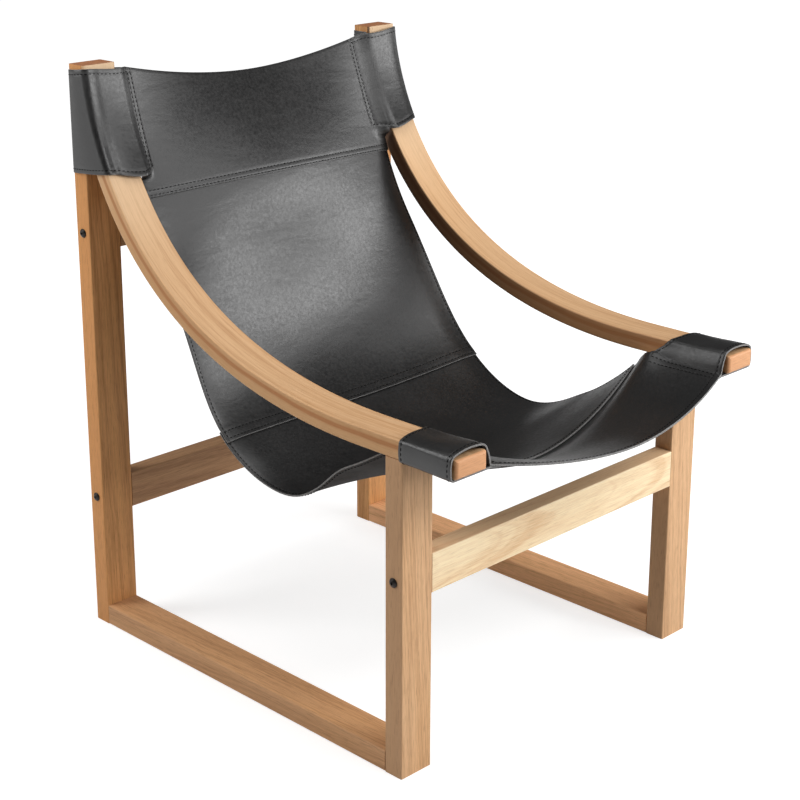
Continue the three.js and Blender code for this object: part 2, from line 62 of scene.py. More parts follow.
# Places that the frame gives; the other side is its mirror image in X = 0
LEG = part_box("left_front_leg")
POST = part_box("left_rear_post")
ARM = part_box("left_arm")
FRONT = LEG[0].y
REAR = POST[1].y
POST_FRONT = POST[0].y
INNER = POST[0].x
OUTER = POST[1].x
TOP = POST[1].z
MEMBER_MIDDLE = (INNER + OUTER) / 2
ARM_UNDER = ARM[0].z
ARM_MOUTH = ARM[0].y


# Sizes and colours that a user would change


def number(name, text, value, unit="NONE"):
    """A plain number, or a power or focal length in the unit that is named"""
    return FloatProperty(name=name, description=text, default=value, unit=unit)


def length(name, text, millimetres):
    """A length whose default is given in millimetres"""
    return FloatProperty(
        name=name, description=text, default=millimetres * MM, unit="LENGTH", subtype="DISTANCE"
    )


def share(name, text, value):
    """A share between 0 and 1"""
    return FloatProperty(name=name, description=text, default=value, subtype="FACTOR")


def angle(name, text, degrees):
    """An angle whose default is given in degrees"""
    return FloatProperty(
        name=name, description=text, default=math.radians(degrees), unit="ROTATION", subtype="ANGLE"
    )


def colour(name, text, value):
    """A colour in linear parts of red, green and blue"""
    return FloatVectorProperty(
        name=name, description=text, default=value, size=3, min=0, max=1, subtype="COLOR"
    )


class TimberSettings(bpy.types.PropertyGroup):
    """Tones of the wood and sizes of the bent arms"""

    cream: colour("Cream wood", "Early wood of the palest members", (1.0, 0.83, 0.55))
    cream_dark: colour("Cream late wood", "Late wood of the palest members", (0.74, 0.47, 0.25))
    tan: colour("Tan wood", "Early wood of the tan members", (0.76, 0.47, 0.255))
    tan_dark: colour("Tan late wood", "Late wood of the tan members", (0.44, 0.23, 0.105))
    amber: colour("Amber wood", "Early wood of the amber members", (0.78, 0.4, 0.155))
    amber_dark: colour("Amber late wood", "Late wood of the amber members", (0.42, 0.18, 0.06))
    honey: colour("Honey wood", "Early wood of the honey members", (1.0, 0.56, 0.29))
    honey_dark: colour("Honey late wood", "Late wood of the honey members", (0.64, 0.32, 0.14))
    russet: colour("Russet wood", "Early wood of the russet members", (0.75, 0.42, 0.21))
    russet_dark: colour("Russet late wood", "Late wood of the russet members", (0.48, 0.235, 0.1))
    # Copper goes on the -X face of the -X post: partly its wood, partly painted light
    copper: colour("Copper wood", "Early wood on the outside of the -X post", (0.75, 0.335, 0.11))
    copper_dark: colour("Copper late wood", "Late wood on the outside of the -X post", (0.42, 0.16, 0.045))
    arm: colour("Arm wood", "Early wood of the arms", (0.63, 0.395, 0.215))
    arm_dark: colour("Arm late wood", "Late wood of the arms", (0.44, 0.23, 0.1))
    brown: colour("Brown wood", "Early wood of the brown members", (0.58, 0.335, 0.175))
    brown_dark: colour("Brown late wood", "Late wood of the brown members", (0.31, 0.15, 0.07))
    flush: colour("Flushed wood", "Colour of the redder patches", (0.78, 0.4, 0.15))
    stripe: colour("Stripe", "Colour of the dark stripe along the arms' sides", (0.46, 0.17, 0.05))
    swept: colour("Swept top", "Colour of the arms near the posts", (0.84, 0.62, 0.4))
    # The arms' inner sides: a darker tone that is partly painted shade, and painted shade near the posts
    inner: colour("Inner side", "Colour of the arms' inner sides", (0.36, 0.15, 0.065))
    painted_shade: colour("Shade", "Colour of the inner sides near the posts", (0.03, 0.01, 0.005))
    end: colour("Arm end", "Colour of the arms' front ends", (0.69, 0.35, 0.17))
    cut_end: colour("Cut end", "Colour of the end grain", (0.27, 0.095, 0.045))
    peg: colour("Dowel", "Colour of the dowels", (0.68, 0.49, 0.29))
    ring: length("Growth ring", "Distance between two growth rings", 4.2)
    arm_thickness: length("Arm thickness", "Thickness of the bent arm", 27)
    arm_level: length("Arm level run", "Run of the arm before it sweeps up", 173)
    arm_setback: length("Arm setback", "From the rear of the post to the top of the sweep", 9.4)
    arm_front_pull: share("Front pull", "Share of the sweep's depth its front end stays level", 0.906)
    arm_top_pull: share("Top pull", "Share of the sweep's height its top end stays upright", 0.114)
    arm_edge: length("Arm edge", "Radius along the arm's edges", 2)
    arm_end: length("Arm end", "Radius round the arm's front end", 4.5)


class LeatherSettings(bpy.types.PropertyGroup):
    """Colours, layers and stitches of the leather"""

    grain: colour("Grain side", "Colour of the finished side", (0.0052, 0.005, 0.005))
    worn: colour("Rubbed grain", "Colour where the finish is rubbed", (0.0145, 0.0132, 0.0126))
    flesh: colour("Flesh side", "Colour of the suede underside", (0.052, 0.05, 0.05))
    cut: colour("Cut edge", "Colour of the raw edges", (0.3, 0.295, 0.29))
    thread: colour("Thread", "Colour of the stitches", (0.002, 0.0018, 0.0018))
    thickness: length("Thickness", "Thickness of the leather", 2.8)
    lay: length("Lay", "From the wood to the middle of the leather", 2.0)
    gap: length("Gap", "Room between two layers", 0.5)
    lap: length("Lap", "How far one panel lies over the next", 20)
    groove: length("Groove", "How deep the stitches pull the leather in", 0.28)
    groove_width: length("Groove width", "Width of a stitch groove on one side", 1.5)
    cell: length("Mesh cell", "Size of the sheet's facets", 6)
    pitch: length("Stitch pitch", "Distance between two stitches", 7)
    stitch: length("Stitch length", "Length of the thread that shows", 4.7)
    thread_radius: length("Thread radius", "Radius of the sewing thread", 0.58)
    sag_power: number("Sag power", "Shape of the sag across, from a V at 1 to a flat middle above 2", 1.8)


class SleeveSettings(bpy.types.PropertyGroup):
    """Shape of the sleeves round the posts and over the arms"""

    top_corner: length("Top corner", "Radius of the leather round the posts", 9)
    side_bulge: length("Side bulge", "How far the sides and backs swell off the wood", 1.8)
    top_flap: length("Top flap", "Length of the sewn flap behind the head band", 34)
    top_bend: length("Flap bend", "Radius where the sleeve turns into its flap", 4)
    hem_lift: length("Hem lift", "Rise of the top sleeve's hem at its outer front corner", 9)
    front_corner: length("Front corner", "Radius of the leather round the arms", 5.2)
    edge_row: length("Edge row", "From a free edge of the sheet to its stitches", 5)
    crown: length("Crown", "How far the front sleeves arch over the arms", 7.5)
    stand_off: length("Stand off", "Room beside the arm at the sleeve's mouth", 2.2)
    front_flap: length("Front flap", "Length of the flap below the front band", 20)
    mouth: length("Mouth", "From the arm's end to the sleeve's mouth", 5)


class FittingSettings(bpy.types.PropertyGroup):
    """Colours of the bolts and the cross nuts"""

    blacked: colour("Blacked steel", "Colour of the bolts", (0.022, 0.019, 0.017))
    worn: colour("Worn black", "Colour of the bolts where the black has worn", (0.11, 0.07, 0.045))
    zinc: colour("Zinc", "Colour of the cross nuts", (0.42, 0.41, 0.38))
    spangle: colour("Spangle", "Colour of the brighter zinc crystals", (0.56, 0.55, 0.52))


class StageSettings(bpy.types.PropertyGroup):
    """Camera, floor and lights"""

    azimuth: angle("Azimuth", "Direction of the camera round the chair", -44.27)
    elevation: angle("Elevation", "Angle of the camera above the horizon", 17.35)
    roll: angle("Roll", "Turn of the camera about its view", -0.23)
    place: FloatVectorProperty(
        name="Camera", description="Place of the camera", default=(-1.8673, -1.79159, 1.3193),
        unit="LENGTH", subtype="TRANSLATION",
    )
    lens: number("Lens", "Focal length of the camera", 80.43, "CAMERA")
    shift_x: number("Shift X", "Sideways shift of the lens", 0.0481)
    shift_y: number("Shift Y", "Upward shift of the lens", -0.0865)
    floor: colour("Floor", "Colour of the floor", (0.6, 0.6, 0.6))
    glow_near: colour("Glow near", "What the camera sees added to the floor by the chair", (0.66,) * 3)
    glow_far: colour("Glow far", "What the camera sees added to the floor far away", (0.97,) * 3)
    key: number("Key light", "Power of the key light", 71, "POWER")
    front: number("Front light", "Power of the front light", 47, "POWER")
    side: number("Side light", "Power of the side light", 23, "POWER")
    top: number("Top light", "Power of the overhead light", 36, "POWER")
    world: number("World", "Strength of the room's light", 0.1)


def sizes(name):
    """The scene's settings of that name"""
    return getattr(bpy.context.scene, name)


# Shader maths


class Value:
    """A number or vector socket that takes part in Python arithmetic."""

    def __init__(self, shader, socket):
        self.shader = shader
        self.socket = socket

    def math(self, operation, *others):
        """This value in a Math node, followed by the others"""
        node = self.shader.add("ShaderNodeMath", {"operation": operation}, {0: self})
        for i, other in enumerate(others):
            self.shader.feed(node, i + 1, other)
        return Value(self.shader, node.outputs[0])

    def flipped(self, operation, other):
        """This value in a Math node, behind the other"""
        node = self.shader.add("ShaderNodeMath", {"operation": operation}, {0: other, 1: self})
        return Value(self.shader, node.outputs[0])

    def __add__(self, other):
        return self.math("ADD", other)

    def __radd__(self, other):
        return self.flipped("ADD", other)

    def __sub__(self, other):
        return self.math("SUBTRACT", other)

    def __rsub__(self, other):
        return self.flipped("SUBTRACT", other)

    def __mul__(self, other):
        return self.math("MULTIPLY", other)

    def __rmul__(self, other):
        return self.flipped("MULTIPLY", other)

    def __truediv__(self, other):
        return self.math("DIVIDE", other)

    def __pow__(self, other):
        return self.math("POWER", other)

    def abs(self):
        """The value without its sign"""
        return self.math("ABSOLUTE")

    def most(self, other):
        """The larger of the two"""
        return self.math("MAXIMUM", other)

    def step(self, low, high):
        """0 below low, 1 above high and a smooth rise between them"""
        values = {"Value": self, "From Min": low, "From Max": high, "To Min": 0.0, "To Max": 1.0}
        node = self.shader.add("ShaderNodeMapRange", {"interpolation_type": "SMOOTHSTEP"}, values)
        return Value(self.shader, node.outputs[0])


class Shader:
    """The node tree of a new material or of the world."""

    def __init__(self, name, owners=None):
        owners = bpy.data.materials if owners is None else owners
        self.owner = owners.new(name)
        self.owner.use_nodes = True
        self.tree = self.owner.node_tree
        self.tree.nodes.clear()

    def add(self, kind, settings=None, values=None):
        """Makes a node: its settings first, then the values or links of its sockets."""
        node = self.tree.nodes.new(kind)
        for key, setting in (settings or {}).items():
            setattr(node, key, setting)
        for key, value in (values or {}).items():
            self.feed(node, key, value)
        return node

    def feed(self, node, key, value):
        """Links a value to a socket, or sets the socket to a number, vector or colour"""
        socket = node.inputs[key]
        if isinstance(value, Value):
            self.tree.links.new(value.socket, socket)
        elif hasattr(value, "__len__") and socket.type == "RGBA":
            socket.default_value = (*value[:3], 1.0)
        else:
            socket.default_value = value

    def place(self):
        """The point's own place on the object, in metres"""
        return Value(self, self.add("ShaderNodeTexCoord").outputs["Object"])

    def attribute(self, name):
        """A vector that the mesh carries"""
        node = self.add("ShaderNodeAttribute", {"attribute_name": name})
        return Value(self, node.outputs["Vector"])

    def facing(self):
        """The three parts of the surface's direction"""
        return self.split(Value(self, self.add("ShaderNodeNewGeometry").outputs["Normal"]))

    def split(self, vector):
        """The three parts of a vector"""
        node = self.add("ShaderNodeSeparateXYZ", values={0: vector})
        return [Value(self, output) for output in node.outputs]

    def join(self, x, y, z):
        """A vector of three parts"""
        return Value(self, self.add("ShaderNodeCombineXYZ", values={0: x, 1: y, 2: z}).outputs[0])

    def vector_math(self, operation, vector, other):
        """Two vectors added or multiplied, part by part"""
        node = self.add("ShaderNodeVectorMath", {"operation": operation}, {0: vector, 1: other})
        return Value(self, node.outputs[0])

    def noise(self, vector, scale, detail=2.0, roughness=0.5, distortion=0.0):
        """Soft noise with `scale` features to a metre, or with one scale to each axis"""
        if hasattr(scale, "__len__"):
            vector, scale = self.vector_math("MULTIPLY", vector, scale), 1.0
        values = {
            "Vector": vector,
            "Scale": scale,
            "Detail": detail,
            "Roughness": roughness,
            "Distortion": distortion,
        }
        return Value(self, self.add("ShaderNodeTexNoise", values=values).outputs[0])

    def cells(self, vector, scale):
        """Distance from the nearest of scattered points, with `scale` of them to a metre"""
        node = self.add("ShaderNodeTexVoronoi", {"feature": "F1"}, {"Vector": vector, "Scale": scale})
        return Value(self, node.outputs["Distance"])

    def mix(self, a, b, factor):
        """Colour a where the factor is 0 and colour b where it is 1"""
        node = self.add("ShaderNodeMix", {"data_type": "RGBA", "blend_type": "MIX"})
        for index, value in ((0, factor), (6, a), (7, b)):
            self.feed(node, index, value)
        return Value(self, node.outputs[2])

    def bump(self, height, strength, distance, normal=None):
        """The surface's direction on a relief of that height, over the relief of `normal`"""
        values = {"Height": height, "Strength": strength, "Distance": distance}
        if normal is not None:
            values["Normal"] = normal
        return Value(self, self.add("ShaderNodeBump", values=values).outputs[0])

    def surface(self, values):
        """Ends the material in one Principled shader and gives it back"""
        shader = self.add("ShaderNodeBsdfPrincipled", values=values)
        self.add("ShaderNodeOutputMaterial", values={0: Value(self, shader.outputs[0])})
        return self.owner


# Finishes

# Figure of the wood: features to a metre, across the fibres twice and along them
WANDER = (8, 8, 3.2)
BAND = (45, 45, 1.1)
STREAK = (160, 160, 1.6)
FIBRE = (900, 900, 22)
PORE = (1300, 1300, 55)
CLOUD = (14, 14, 2.2)
# How far the trunk's heart leans from a member's axis, and how far its rings wander, in metres
LEAN = 0.06
RING_WANDER = 0.016
# Distances over which the rub on an edge and the colour of an end fade
RUBBED = (0.6 * MM, 2.4 * MM)
END_GRAIN = (TOP - 4 * MM, TOP - 2 * MM)
# How far a surface has to face one way to count as a side: none and all of it
SIDE_ON = (0.6, 0.9)


def oiled_timber(name, grain, heart, tone, edge=None, marks=None, flame=0.3, streaks=0.5, pores=0.3):
    """Open-pored wood; `grain` gives the place with the fibres along Z and `marks` coloured areas."""
    timber = sizes("timber")
    pale, dark = tone
    shader = Shader(name)
    here = shader.vector_math("ADD", grain(shader), heart)
    x, y, z = shader.split(here)
    wander = shader.noise(here, WANDER, 3.0) - 0.5
    across = x + z * LEAN
    radius = ((across * across + y * y) ** 0.5) + wander * RING_WANDER
    rings = shader.noise(shader.join(radius / timber.ring, 0.0, z * 1.1), 1.0, 2.0, 0.55)
    late = rings.step(0.42, 0.66)
    band = shader.noise(here, BAND)
    streak = shader.noise(here, STREAK, 4.0, 0.62)
    fibre = shader.noise(here, FIBRE, 2.0, 0.6)
    pore = shader.noise(here, PORE, 1.0).step(0.56, 0.68)
    cloud = shader.noise(here, CLOUD)

    depth = late * flame + (band - 0.5) * 0.6 + (streak - 0.5) * streaks + (fibre - 0.5) * 0.95
    tint = shader.mix(pale, dark, (depth + 0.3).step(0.0, 1.0))
    tint = shader.mix(tint, timber.flush, cloud.step(0.5, 0.8) * 0.2)
    for mark, cover in marks(shader) if marks else ():
        tint = shader.mix(tint, mark, cover * (0.8 + streak * 0.4))
    pit = tuple(part * 0.55 for part in dark)
    tint = shader.mix(tint, pit, pore * (pores + late * 0.1))
    if edge is not None:
        rub = 1 - edge(shader).step(*RUBBED)
        tint = shader.mix(tint, pale, rub * 0.4)
    high = shader.split(shader.place())[2].step(*END_GRAIN)
    top = shader.facing()[2].step(*SIDE_ON)
    tint = shader.mix(tint, timber.cut_end, top * high * (0.55 + streak * 0.5))
    height = fibre * 0.5 + streak * 0.35 - pore * 0.6
    return shader.surface({
        "Base Color": tint,
        "Roughness": 0.46 + fibre * 0.16 + pore * 0.1 - late * 0.04,
        "Normal": shader.bump(height, 0.25, 0.25 * MM),
        "Specular IOR Level": 0.3,
    })


def along_axis(axis):
    """The place turned so that a member's fibres run along Z"""

    def grain(shader):
        x, y, z = shader.split(shader.place())
        turned = {"x": (y, z, x), "y": (x, z, y), "z": (x, y, z)}[axis]
        return shader.join(*turned)

    return grain


def member_edge(node, axis):
    """Distance of the place from a member's nearest long edge"""
    low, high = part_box(node)
    middle = (low + high) / 2
    half = (high - low) / 2
    sides = [i for i in range(3) if i != "xyz".index(axis)]

    def distance(shader):
        parts = shader.split(shader.place())
        near = [half[i] - (parts[i] - middle[i]).abs() for i in sides]
        return near[0].most(near[1])

    return distance


def black_leather():
    """The finished side: a fine grain, rubbed in clouds, over soft dents and wrinkles"""
    leather = sizes("leather")
    shader = Shader("black_leather")
    here = shader.place()
    pebble = shader.noise(here, 480.0)
    fine = shader.noise(here, 1500.0, 2.0, 0.6)
    mottle = shader.noise(here, 210.0, 3.0, 0.6)
    cloud = shader.noise(here, 9.0, 3.0, 0.55)
    scuff = shader.noise(here, (30, 30, 90), 4.0, 0.7).step(0.6, 0.8)
    wrinkle = shader.noise(here, (13, 13, 38), 3.0, 0.5, 0.5)
    dent = shader.noise(here, 150.0, 3.0, 0.6)
    normal = shader.bump(wrinkle, 0.3, 2 * MM)
    normal = shader.bump(dent, 0.32, 0.4 * MM, normal)
    return shader.surface({
        "Base Color": shader.mix(leather.grain, leather.worn, (mottle - 0.35) * 1.1 + (cloud - 0.5) * 0.9),
        "Roughness": 0.39 + (mottle - 0.5) * 0.3 + (cloud - 0.5) * 0.14 + scuff * 0.08,
        "Normal": shader.bump(pebble * 0.7 + fine * 0.3, 0.3, 0.12 * MM, normal),
        "Specular IOR Level": 0.62,
    })


def suede():
    """The rough underside, with a raised nap"""
    leather = sizes("leather")
    shader = Shader("flesh_side")
    here = shader.place()
    nap = shader.noise(here, 900.0, 3.0, 0.7)
    cloud = shader.noise(here, 24.0, 3.0, 0.6)
    tint = shader.mix(leather.flesh, leather.worn, (cloud - 0.2).step(0.1, 0.7))
    return shader.surface({
        "Base Color": shader.mix(tint, leather.cut, nap.step(0.55, 0.9) * 0.25),
        "Roughness": 0.86 + nap * 0.1,
        "Normal": shader.bump(nap, 0.5, 0.4 * MM),
        "Specular IOR Level": 0.25,
    })


def raw_edge():
    """The cut edge, which shows the fibres inside the leather"""
    leather = sizes("leather")
    shader = Shader("cut_edge")
    fuzz = shader.noise(shader.place(), 700.0, 3.0, 0.7)
    return shader.surface({
        "Base Color": shader.mix(leather.cut, leather.flesh, fuzz.step(0.35, 0.75)),
        "Roughness": 0.8 + fuzz * 0.15,
        "Normal": shader.bump(fuzz, 0.6, 0.3 * MM),
        "Specular IOR Level": 0.3,
    })


def waxed_thread():
    """Twisted black thread with a little wax left on it"""
    leather = sizes("leather")
    shader = Shader("waxed_thread")
    twist = shader.noise(shader.place(), 2600.0, 1.0)
    return shader.surface({
        "Base Color": shader.mix(leather.thread, leather.worn, twist.step(0.5, 0.9) * 0.3),
        "Roughness": 0.7 + twist * 0.2,
        "Normal": shader.bump(twist, 0.5, 0.2 * MM),
        "Specular IOR Level": 0.12,
    })


def black_steel():
    """Blacked steel with brown patches where the black has worn"""
    fitting = sizes("fitting")
    shader = Shader("black_steel")
    here = shader.place()
    speck = shader.noise(here, 1100.0)
    patch = shader.noise(here, 160.0)
    return shader.surface({
        "Base Color": shader.mix(fitting.blacked, fitting.worn, patch.step(0.5, 0.8) * 0.7),
        "Metallic": 0.7,
        "Roughness": 0.3 + speck * 0.18,
        "Normal": shader.bump(speck, 0.2, 0.1 * MM),
    })


def zinc_steel():
    """Zinc plating with its spangle and the lines of the turned bar"""
    fitting = sizes("fitting")
    shader = Shader("zinc_steel")
    here = shader.place()
    spangle = shader.cells(here, 420.0)
    line = shader.noise(here, (300, 300, 2600))
    return shader.surface({
        "Base Color": shader.mix(fitting.zinc, fitting.spangle, spangle.step(0.2, 0.7)),
        "Metallic": 1.0,
        "Roughness": 0.3 + line * 0.15,
        "Normal": shader.bump(line, 0.25, 0.1 * MM),
    })


def dress(node, material):
    """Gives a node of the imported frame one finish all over."""
    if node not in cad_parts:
        raise RuntimeError("The packed frame has no node " + node)
    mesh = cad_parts[node].data
    mesh.materials.clear()
    mesh.materials.append(material)


# Curves and grids

# How near to a stitch row the next line of the mesh may lie, in widths of its groove
ROW_ROOM = 1.35
# Distance within which a line counts as a stitch row
ROW_MATCH = 1e-7


def natural_spline(knots):
    """A smooth curve through rows of numbers, read at 0 for the first row and n - 1 for the last"""
    knots = np.asarray(knots, float)
    count = len(knots)
    system = np.eye(count)
    bends = np.zeros_like(knots)
    for i in range(1, count - 1):
        system[i, i - 1 : i + 2] = 1, 4, 1
        bends[i] = 6 * (knots[i - 1] - 2 * knots[i] + knots[i + 1])
    second = np.linalg.solve(system, bends)

    def at(place):
        place = np.asarray(place, float)
        low = np.clip(np.floor(place).astype(int), 0, count - 2)
        after = (place - low)[..., None]
        before = 1 - after
        curve = before * knots[low] + after * knots[low + 1]
        curve += (before**3 - before) * second[low] / 6
        return curve + (after**3 - after) * second[low + 1] / 6

    return at


def smooth(value, low=0.0, high=1.0):
    """0 below low, 1 above high and a smooth rise between them"""
    part = np.clip((np.asarray(value, float) - low) / (high - low), 0, 1)
    return part * part * (3 - 2 * part)


def normals_of(grid):
    """Unit normals of a grid of points, whose rows run down and whose columns run to +X"""
    down = np.gradient(grid, axis=0)
    over = np.gradient(grid, axis=1)
    normal = np.cross(down, over)
    return normal / np.linalg.norm(normal, axis=2, keepdims=True)


def marked_lines(start, end, cell, rows, width):
    """Even lines from start to end, with one on each stitch row and one on each side of it"""
    count = max(int(round((end - start) / cell)), 2)
    lines = list(np.linspace(start, end, count + 1))
    for row in rows:
        lines = [line for line in lines if abs(line - row) > ROW_ROOM * width or line in (start, end)]
        lines += [row - width, row, row + width]
    inside = [line for line in lines if start <= line <= end]
    return np.array(sorted(inside))


def on_row(lines, rows):
    """1 on the lines that are stitch rows and 0 on the others"""
    return np.array([float(any(abs(line - row) < ROW_MATCH for row in rows)) for line in lines])


def row_numbers(lines, rows):
    """Which of the lines are stitch rows"""
    return np.flatnonzero(on_row(lines, rows))


def straight(start, end, count, bow=0.0, out=(0, 0)):
    """Points after start up to end, bowed outwards in the middle"""
    part = np.arange(1, count + 1) / count
    line = np.array(start) + (np.array(end) - np.array(start)) * part[:, None]
    return line + np.outer(np.sin(part * math.pi) * bow, out)


def arc(centre, radius, start, end, count=6):
    """Points after the start of an arc up to its end, in quarter turns"""
    turn = (start + (end - start) * np.arange(1, count + 1) / count) * math.pi / 2
    return np.array(centre) + radius * np.stack([np.cos(turn), np.sin(turn)], axis=1)


def bezier(points, count):
    """Points after the first of a curve up to its last; the ones between pull it"""
    part = (np.arange(1, count + 1) / count)[:, None]
    degree = len(points) - 1
    weights = [math.comb(degree, i) * part**i * (1 - part) ** (degree - i) for i in range(degree + 1)]
    return sum(weight * point for weight, point in zip(weights, points))


# The sling between its hems: shares of the frame's depth and height, and of the room between the arms
# [edge depth, edge height, middle depth, middle height, half width]
SLING_STATIONS = [
    [0.878, 0.775, 0.837, 0.786, 0.98],
    [0.793, 0.654, 0.796, 0.649, 0.992],
    [0.699, 0.525, 0.736, 0.504, 0.996],
    [0.591, 0.414, 0.617, 0.399, 0.998],
    [0.409, 0.361, 0.423, 0.359, 0.998],
    [0.275, 0.407, 0.275, 0.367, 0.996],
    [0.202, 0.44, 0.187, 0.38, 0.993],
    [0.105, 0.494, 0.069, 0.407, 0.975],
    [0.052, 0.517, -0.013, 0.432, 0.955],
]
# How far the +X edge lies from the mean at each station, and the other edge the opposite way, in mm: [Y, Z]
SLING_SKEW = [
    [0, 0],
    [0, 0],
    [0, 0.5],
    [-4.5, 2.8],
    [-8.5, 10],
    [-1, 6],
    [-4, -6],
    [-4.5, -7],
    [-1.5, -3],
    [0, 0],
    [0, 0],
]
# Ends of the top hem below the posts' tops and behind the arms' faces, sag and setback of its middle, and
# its half width as a share of half the room between the arms
TOP_DROP = 9 * MM
TOP_SETBACK = 3 * MM
TOP_HEM_SAG = 33 * MM
TOP_HEM_SETBACK = 7 * MM
TOP_HALF = 0.936
# Bulge of the front hem ahead of the arms' mouths, its sag, and its half width as such a share
FRONT_HEM_BULGE = 41 * MM
FRONT_HEM_SAG = 32 * MM
FRONT_HALF = 0.955
# Rise of the sling's edge over the arms' undersides at the front
SHEET_RISE = 1.5 * MM
# Places along the sling, from 0 at the top hem to 1 at the front hem
STATIONS = len(SLING_STATIONS) + 1
HEAD_SEAM = 1 / STATIONS
SEAT_SEAM = 4 / STATIONS
FRONT_SEAM = 8 / STATIONS
FRONT_SLEEVE = 9 / STATIONS
TOP_SLEEVE_END = 0.76 / STATIONS
# Roundness of the sag at the middle of the sling, as a share of its half width
SAG_SOFTNESS = 0.15
# How far a free edge of the sling rolls back, where that begins across it, and where along it
ROLL = 5 * MM
ROLL_FROM = 0.86
ROLL_BEGINS = (0.1, 0.2)
ROLL_ENDS = (0.42, 0.55)
# How far the arms pull up the front band's corners, where across it, and over what share of the sling
HITCH = 7 * MM
HITCH_FROM = 0.84
HITCH_LENGTH = 0.022
# How deep the rows that close a top sleeve pull the leather in
CLOSING_DEPTH = 0.7 * MM
# Step where the back panel runs over the upper edge of the seat panel, and its length behind and ahead
TELEGRAPH = 0.6 * MM
TELEGRAPH_RUN = (3 * MM, 1 * MM)
# Soft folds in mm: place across and along the sling, half length, half width, turn in degrees, height
FOLDS = [
    [-60, 330, 160, 45, -14, 0.9],
    [40, 420, 170, 40, 10, -0.8],
    [-110, 470, 120, 36, 20, 0.7],
    [120, 300, 110, 45, -24, 0.6],
    [-53, 262, 9, 2.6, 6, -0.9],
    [-50, 262, 34, 20, 10, 0.8],
    [150, 640, 130, 42, 18, 0.9],
    [-140, 660, 120, 40, -12, 1.2],
    [0, 760, 160, 44, 0, -0.8],
    [60, 1010, 120, 30, 8, 0.8],
]
# First point of the arm's path that is well up its sweep
RISING = 40
# Points on the arm's level run, on its sweep, and on the line that measures the sling
LEVEL_STEPS = 30
SWEEP_STEPS = 160
SLING_STEPS = 800


class ArmSweep:
    """The arm's lower face from the front end to the top, as points in Y and Z"""

    def __init__(self):
        timber = sizes("timber")
        start = np.array([ARM_MOUTH + timber.arm_level, ARM_UNDER])
        end = np.array([REAR - timber.arm_setback, TOP])
        pull = start + [timber.arm_front_pull * (end[0] - start[0]), 0]
        push = end - [0, timber.arm_top_pull * (end[1] - start[1])]
        level = np.linspace(ARM_MOUTH, start[0], LEVEL_STEPS, endpoint=False)
        run = np.stack([level, np.full(len(level), ARM_UNDER)], axis=1)
        self.under = np.concatenate([run, [start], bezier([start, pull, push, end], SWEEP_STEPS)])
        along = np.gradient(self.under, axis=0)
        along[: len(run)] = (1, 0)
        along[-1] = (0, 1)
        along /= np.linalg.norm(along, axis=1, keepdims=True)
        self.out = np.stack([-along[:, 1], along[:, 0]], axis=1)
        self.thickness = timber.arm_thickness
        steps = np.linalg.norm(np.diff(self.under, axis=0), axis=1)
        self.length = np.concatenate([[0], np.cumsum(steps)])

    def front_at(self, height):
        """Depth of the arm's upper face at a height on its sweep"""
        face = self.under + self.out * self.thickness
        rising = face[RISING:]
        return np.interp(height, rising[:, 1], rising[:, 0])


class Sling:
    """The middle surface of the leather between its top hem and its front hem"""

    def __init__(self, sweep):
        leather = sizes("leather")
        sleeve = sizes("sleeve")
        height = TOP - TOP_DROP
        top = float(sweep.front_at(height)) - leather.lay + TOP_SETBACK
        mouth = ARM_MOUTH + sleeve.mouth
        low = ARM_UNDER + SHEET_RISE
        depth = REAR - FRONT
        rows = [[top, height, top + TOP_HEM_SETBACK, height - TOP_HEM_SAG, TOP_HALF * INNER]]
        for edge_y, edge_z, y, z, half in SLING_STATIONS:
            edge = [FRONT + edge_y * depth, edge_z * TOP]
            rows.append([*edge, FRONT + y * depth, z * TOP, half * INNER])
        rows.append([mouth, low, mouth - FRONT_HEM_BULGE, low - FRONT_HEM_SAG, FRONT_HALF * INNER])
        rows = np.array(rows)
        self.line = natural_spline(np.concatenate([rows, np.array(SLING_SKEW) * MM], axis=1))
        self.power = leather.sag_power
        ways = np.linspace(0, 1, SLING_STEPS + 1)
        lines = self.line(ways * STATIONS)
        mean = (lines[:, :2] + lines[:, 2:4]) / 2
        steps = np.linalg.norm(np.diff(mean, axis=0), axis=1)
        self.ways = ways
        self.lengths = np.concatenate([[0], np.cumsum(steps)])

    def length_at(self, way):
        """Distance from the top hem along the sling, for a share of it"""
        return np.interp(way, self.ways, self.lengths)

    def way_at(self, distance):
        """Share of the sling, for a distance from its top hem"""
        return np.interp(distance, self.lengths, self.ways)

    def surface(self, across, way):
        """Points for `across` from -1 to 1 and `way` from 0 at the top hem to 1 at the front hem"""
        edge_y, edge_z, y, z, half, skew_y, skew_z = np.moveaxis(self.line(way * STATIONS), -1, 0)
        low = SAG_SOFTNESS**self.power
        reach = [(place**2 + SAG_SOFTNESS**2) ** (self.power / 2) - low for place in (across, 1)]
        rise = reach[0] / reach[1]
        lean = across * np.abs(across)
        return np.stack([
            across * half,
            y + (edge_y - y) * rise + skew_y * lean,
            z + (edge_z - z) * rise + skew_z * lean,
        ], axis=-1)

    def relief(self, across, way):
        """Soft folds and the roll of the free edges, as lifts towards the sitter"""
        distance = self.length_at(way)
        roll = np.clip((np.abs(across) - ROLL_FROM) / (1 - ROLL_FROM), 0, 1) ** 2
        free = smooth(way, *ROLL_BEGINS) * (1 - smooth(way, *ROLL_ENDS))
        lift = -ROLL * roll * free
        for fold_x, fold_s, long, wide, turn, high in FOLDS:
            cos, sin = math.cos(math.radians(turn)), math.sin(math.radians(turn))
            over = across * INNER - fold_x * MM
            down = distance - fold_s * MM
            run = (over * cos + down * sin) / (long * MM)
            side = (down * cos - over * sin) / (wide * MM)
            lift = lift + high * MM * np.exp(-(run**2) - side**2)
        return lift


# Leather pieces

# Rounding of the cut edges, and the angle from which an edge counts as one, in degrees
CUT_ROUND = 0.5 * MM
CUT_ANGLE = 62
# Distance to either side of a stitch that gives its direction
STITCH_NUDGE = 1 * MM
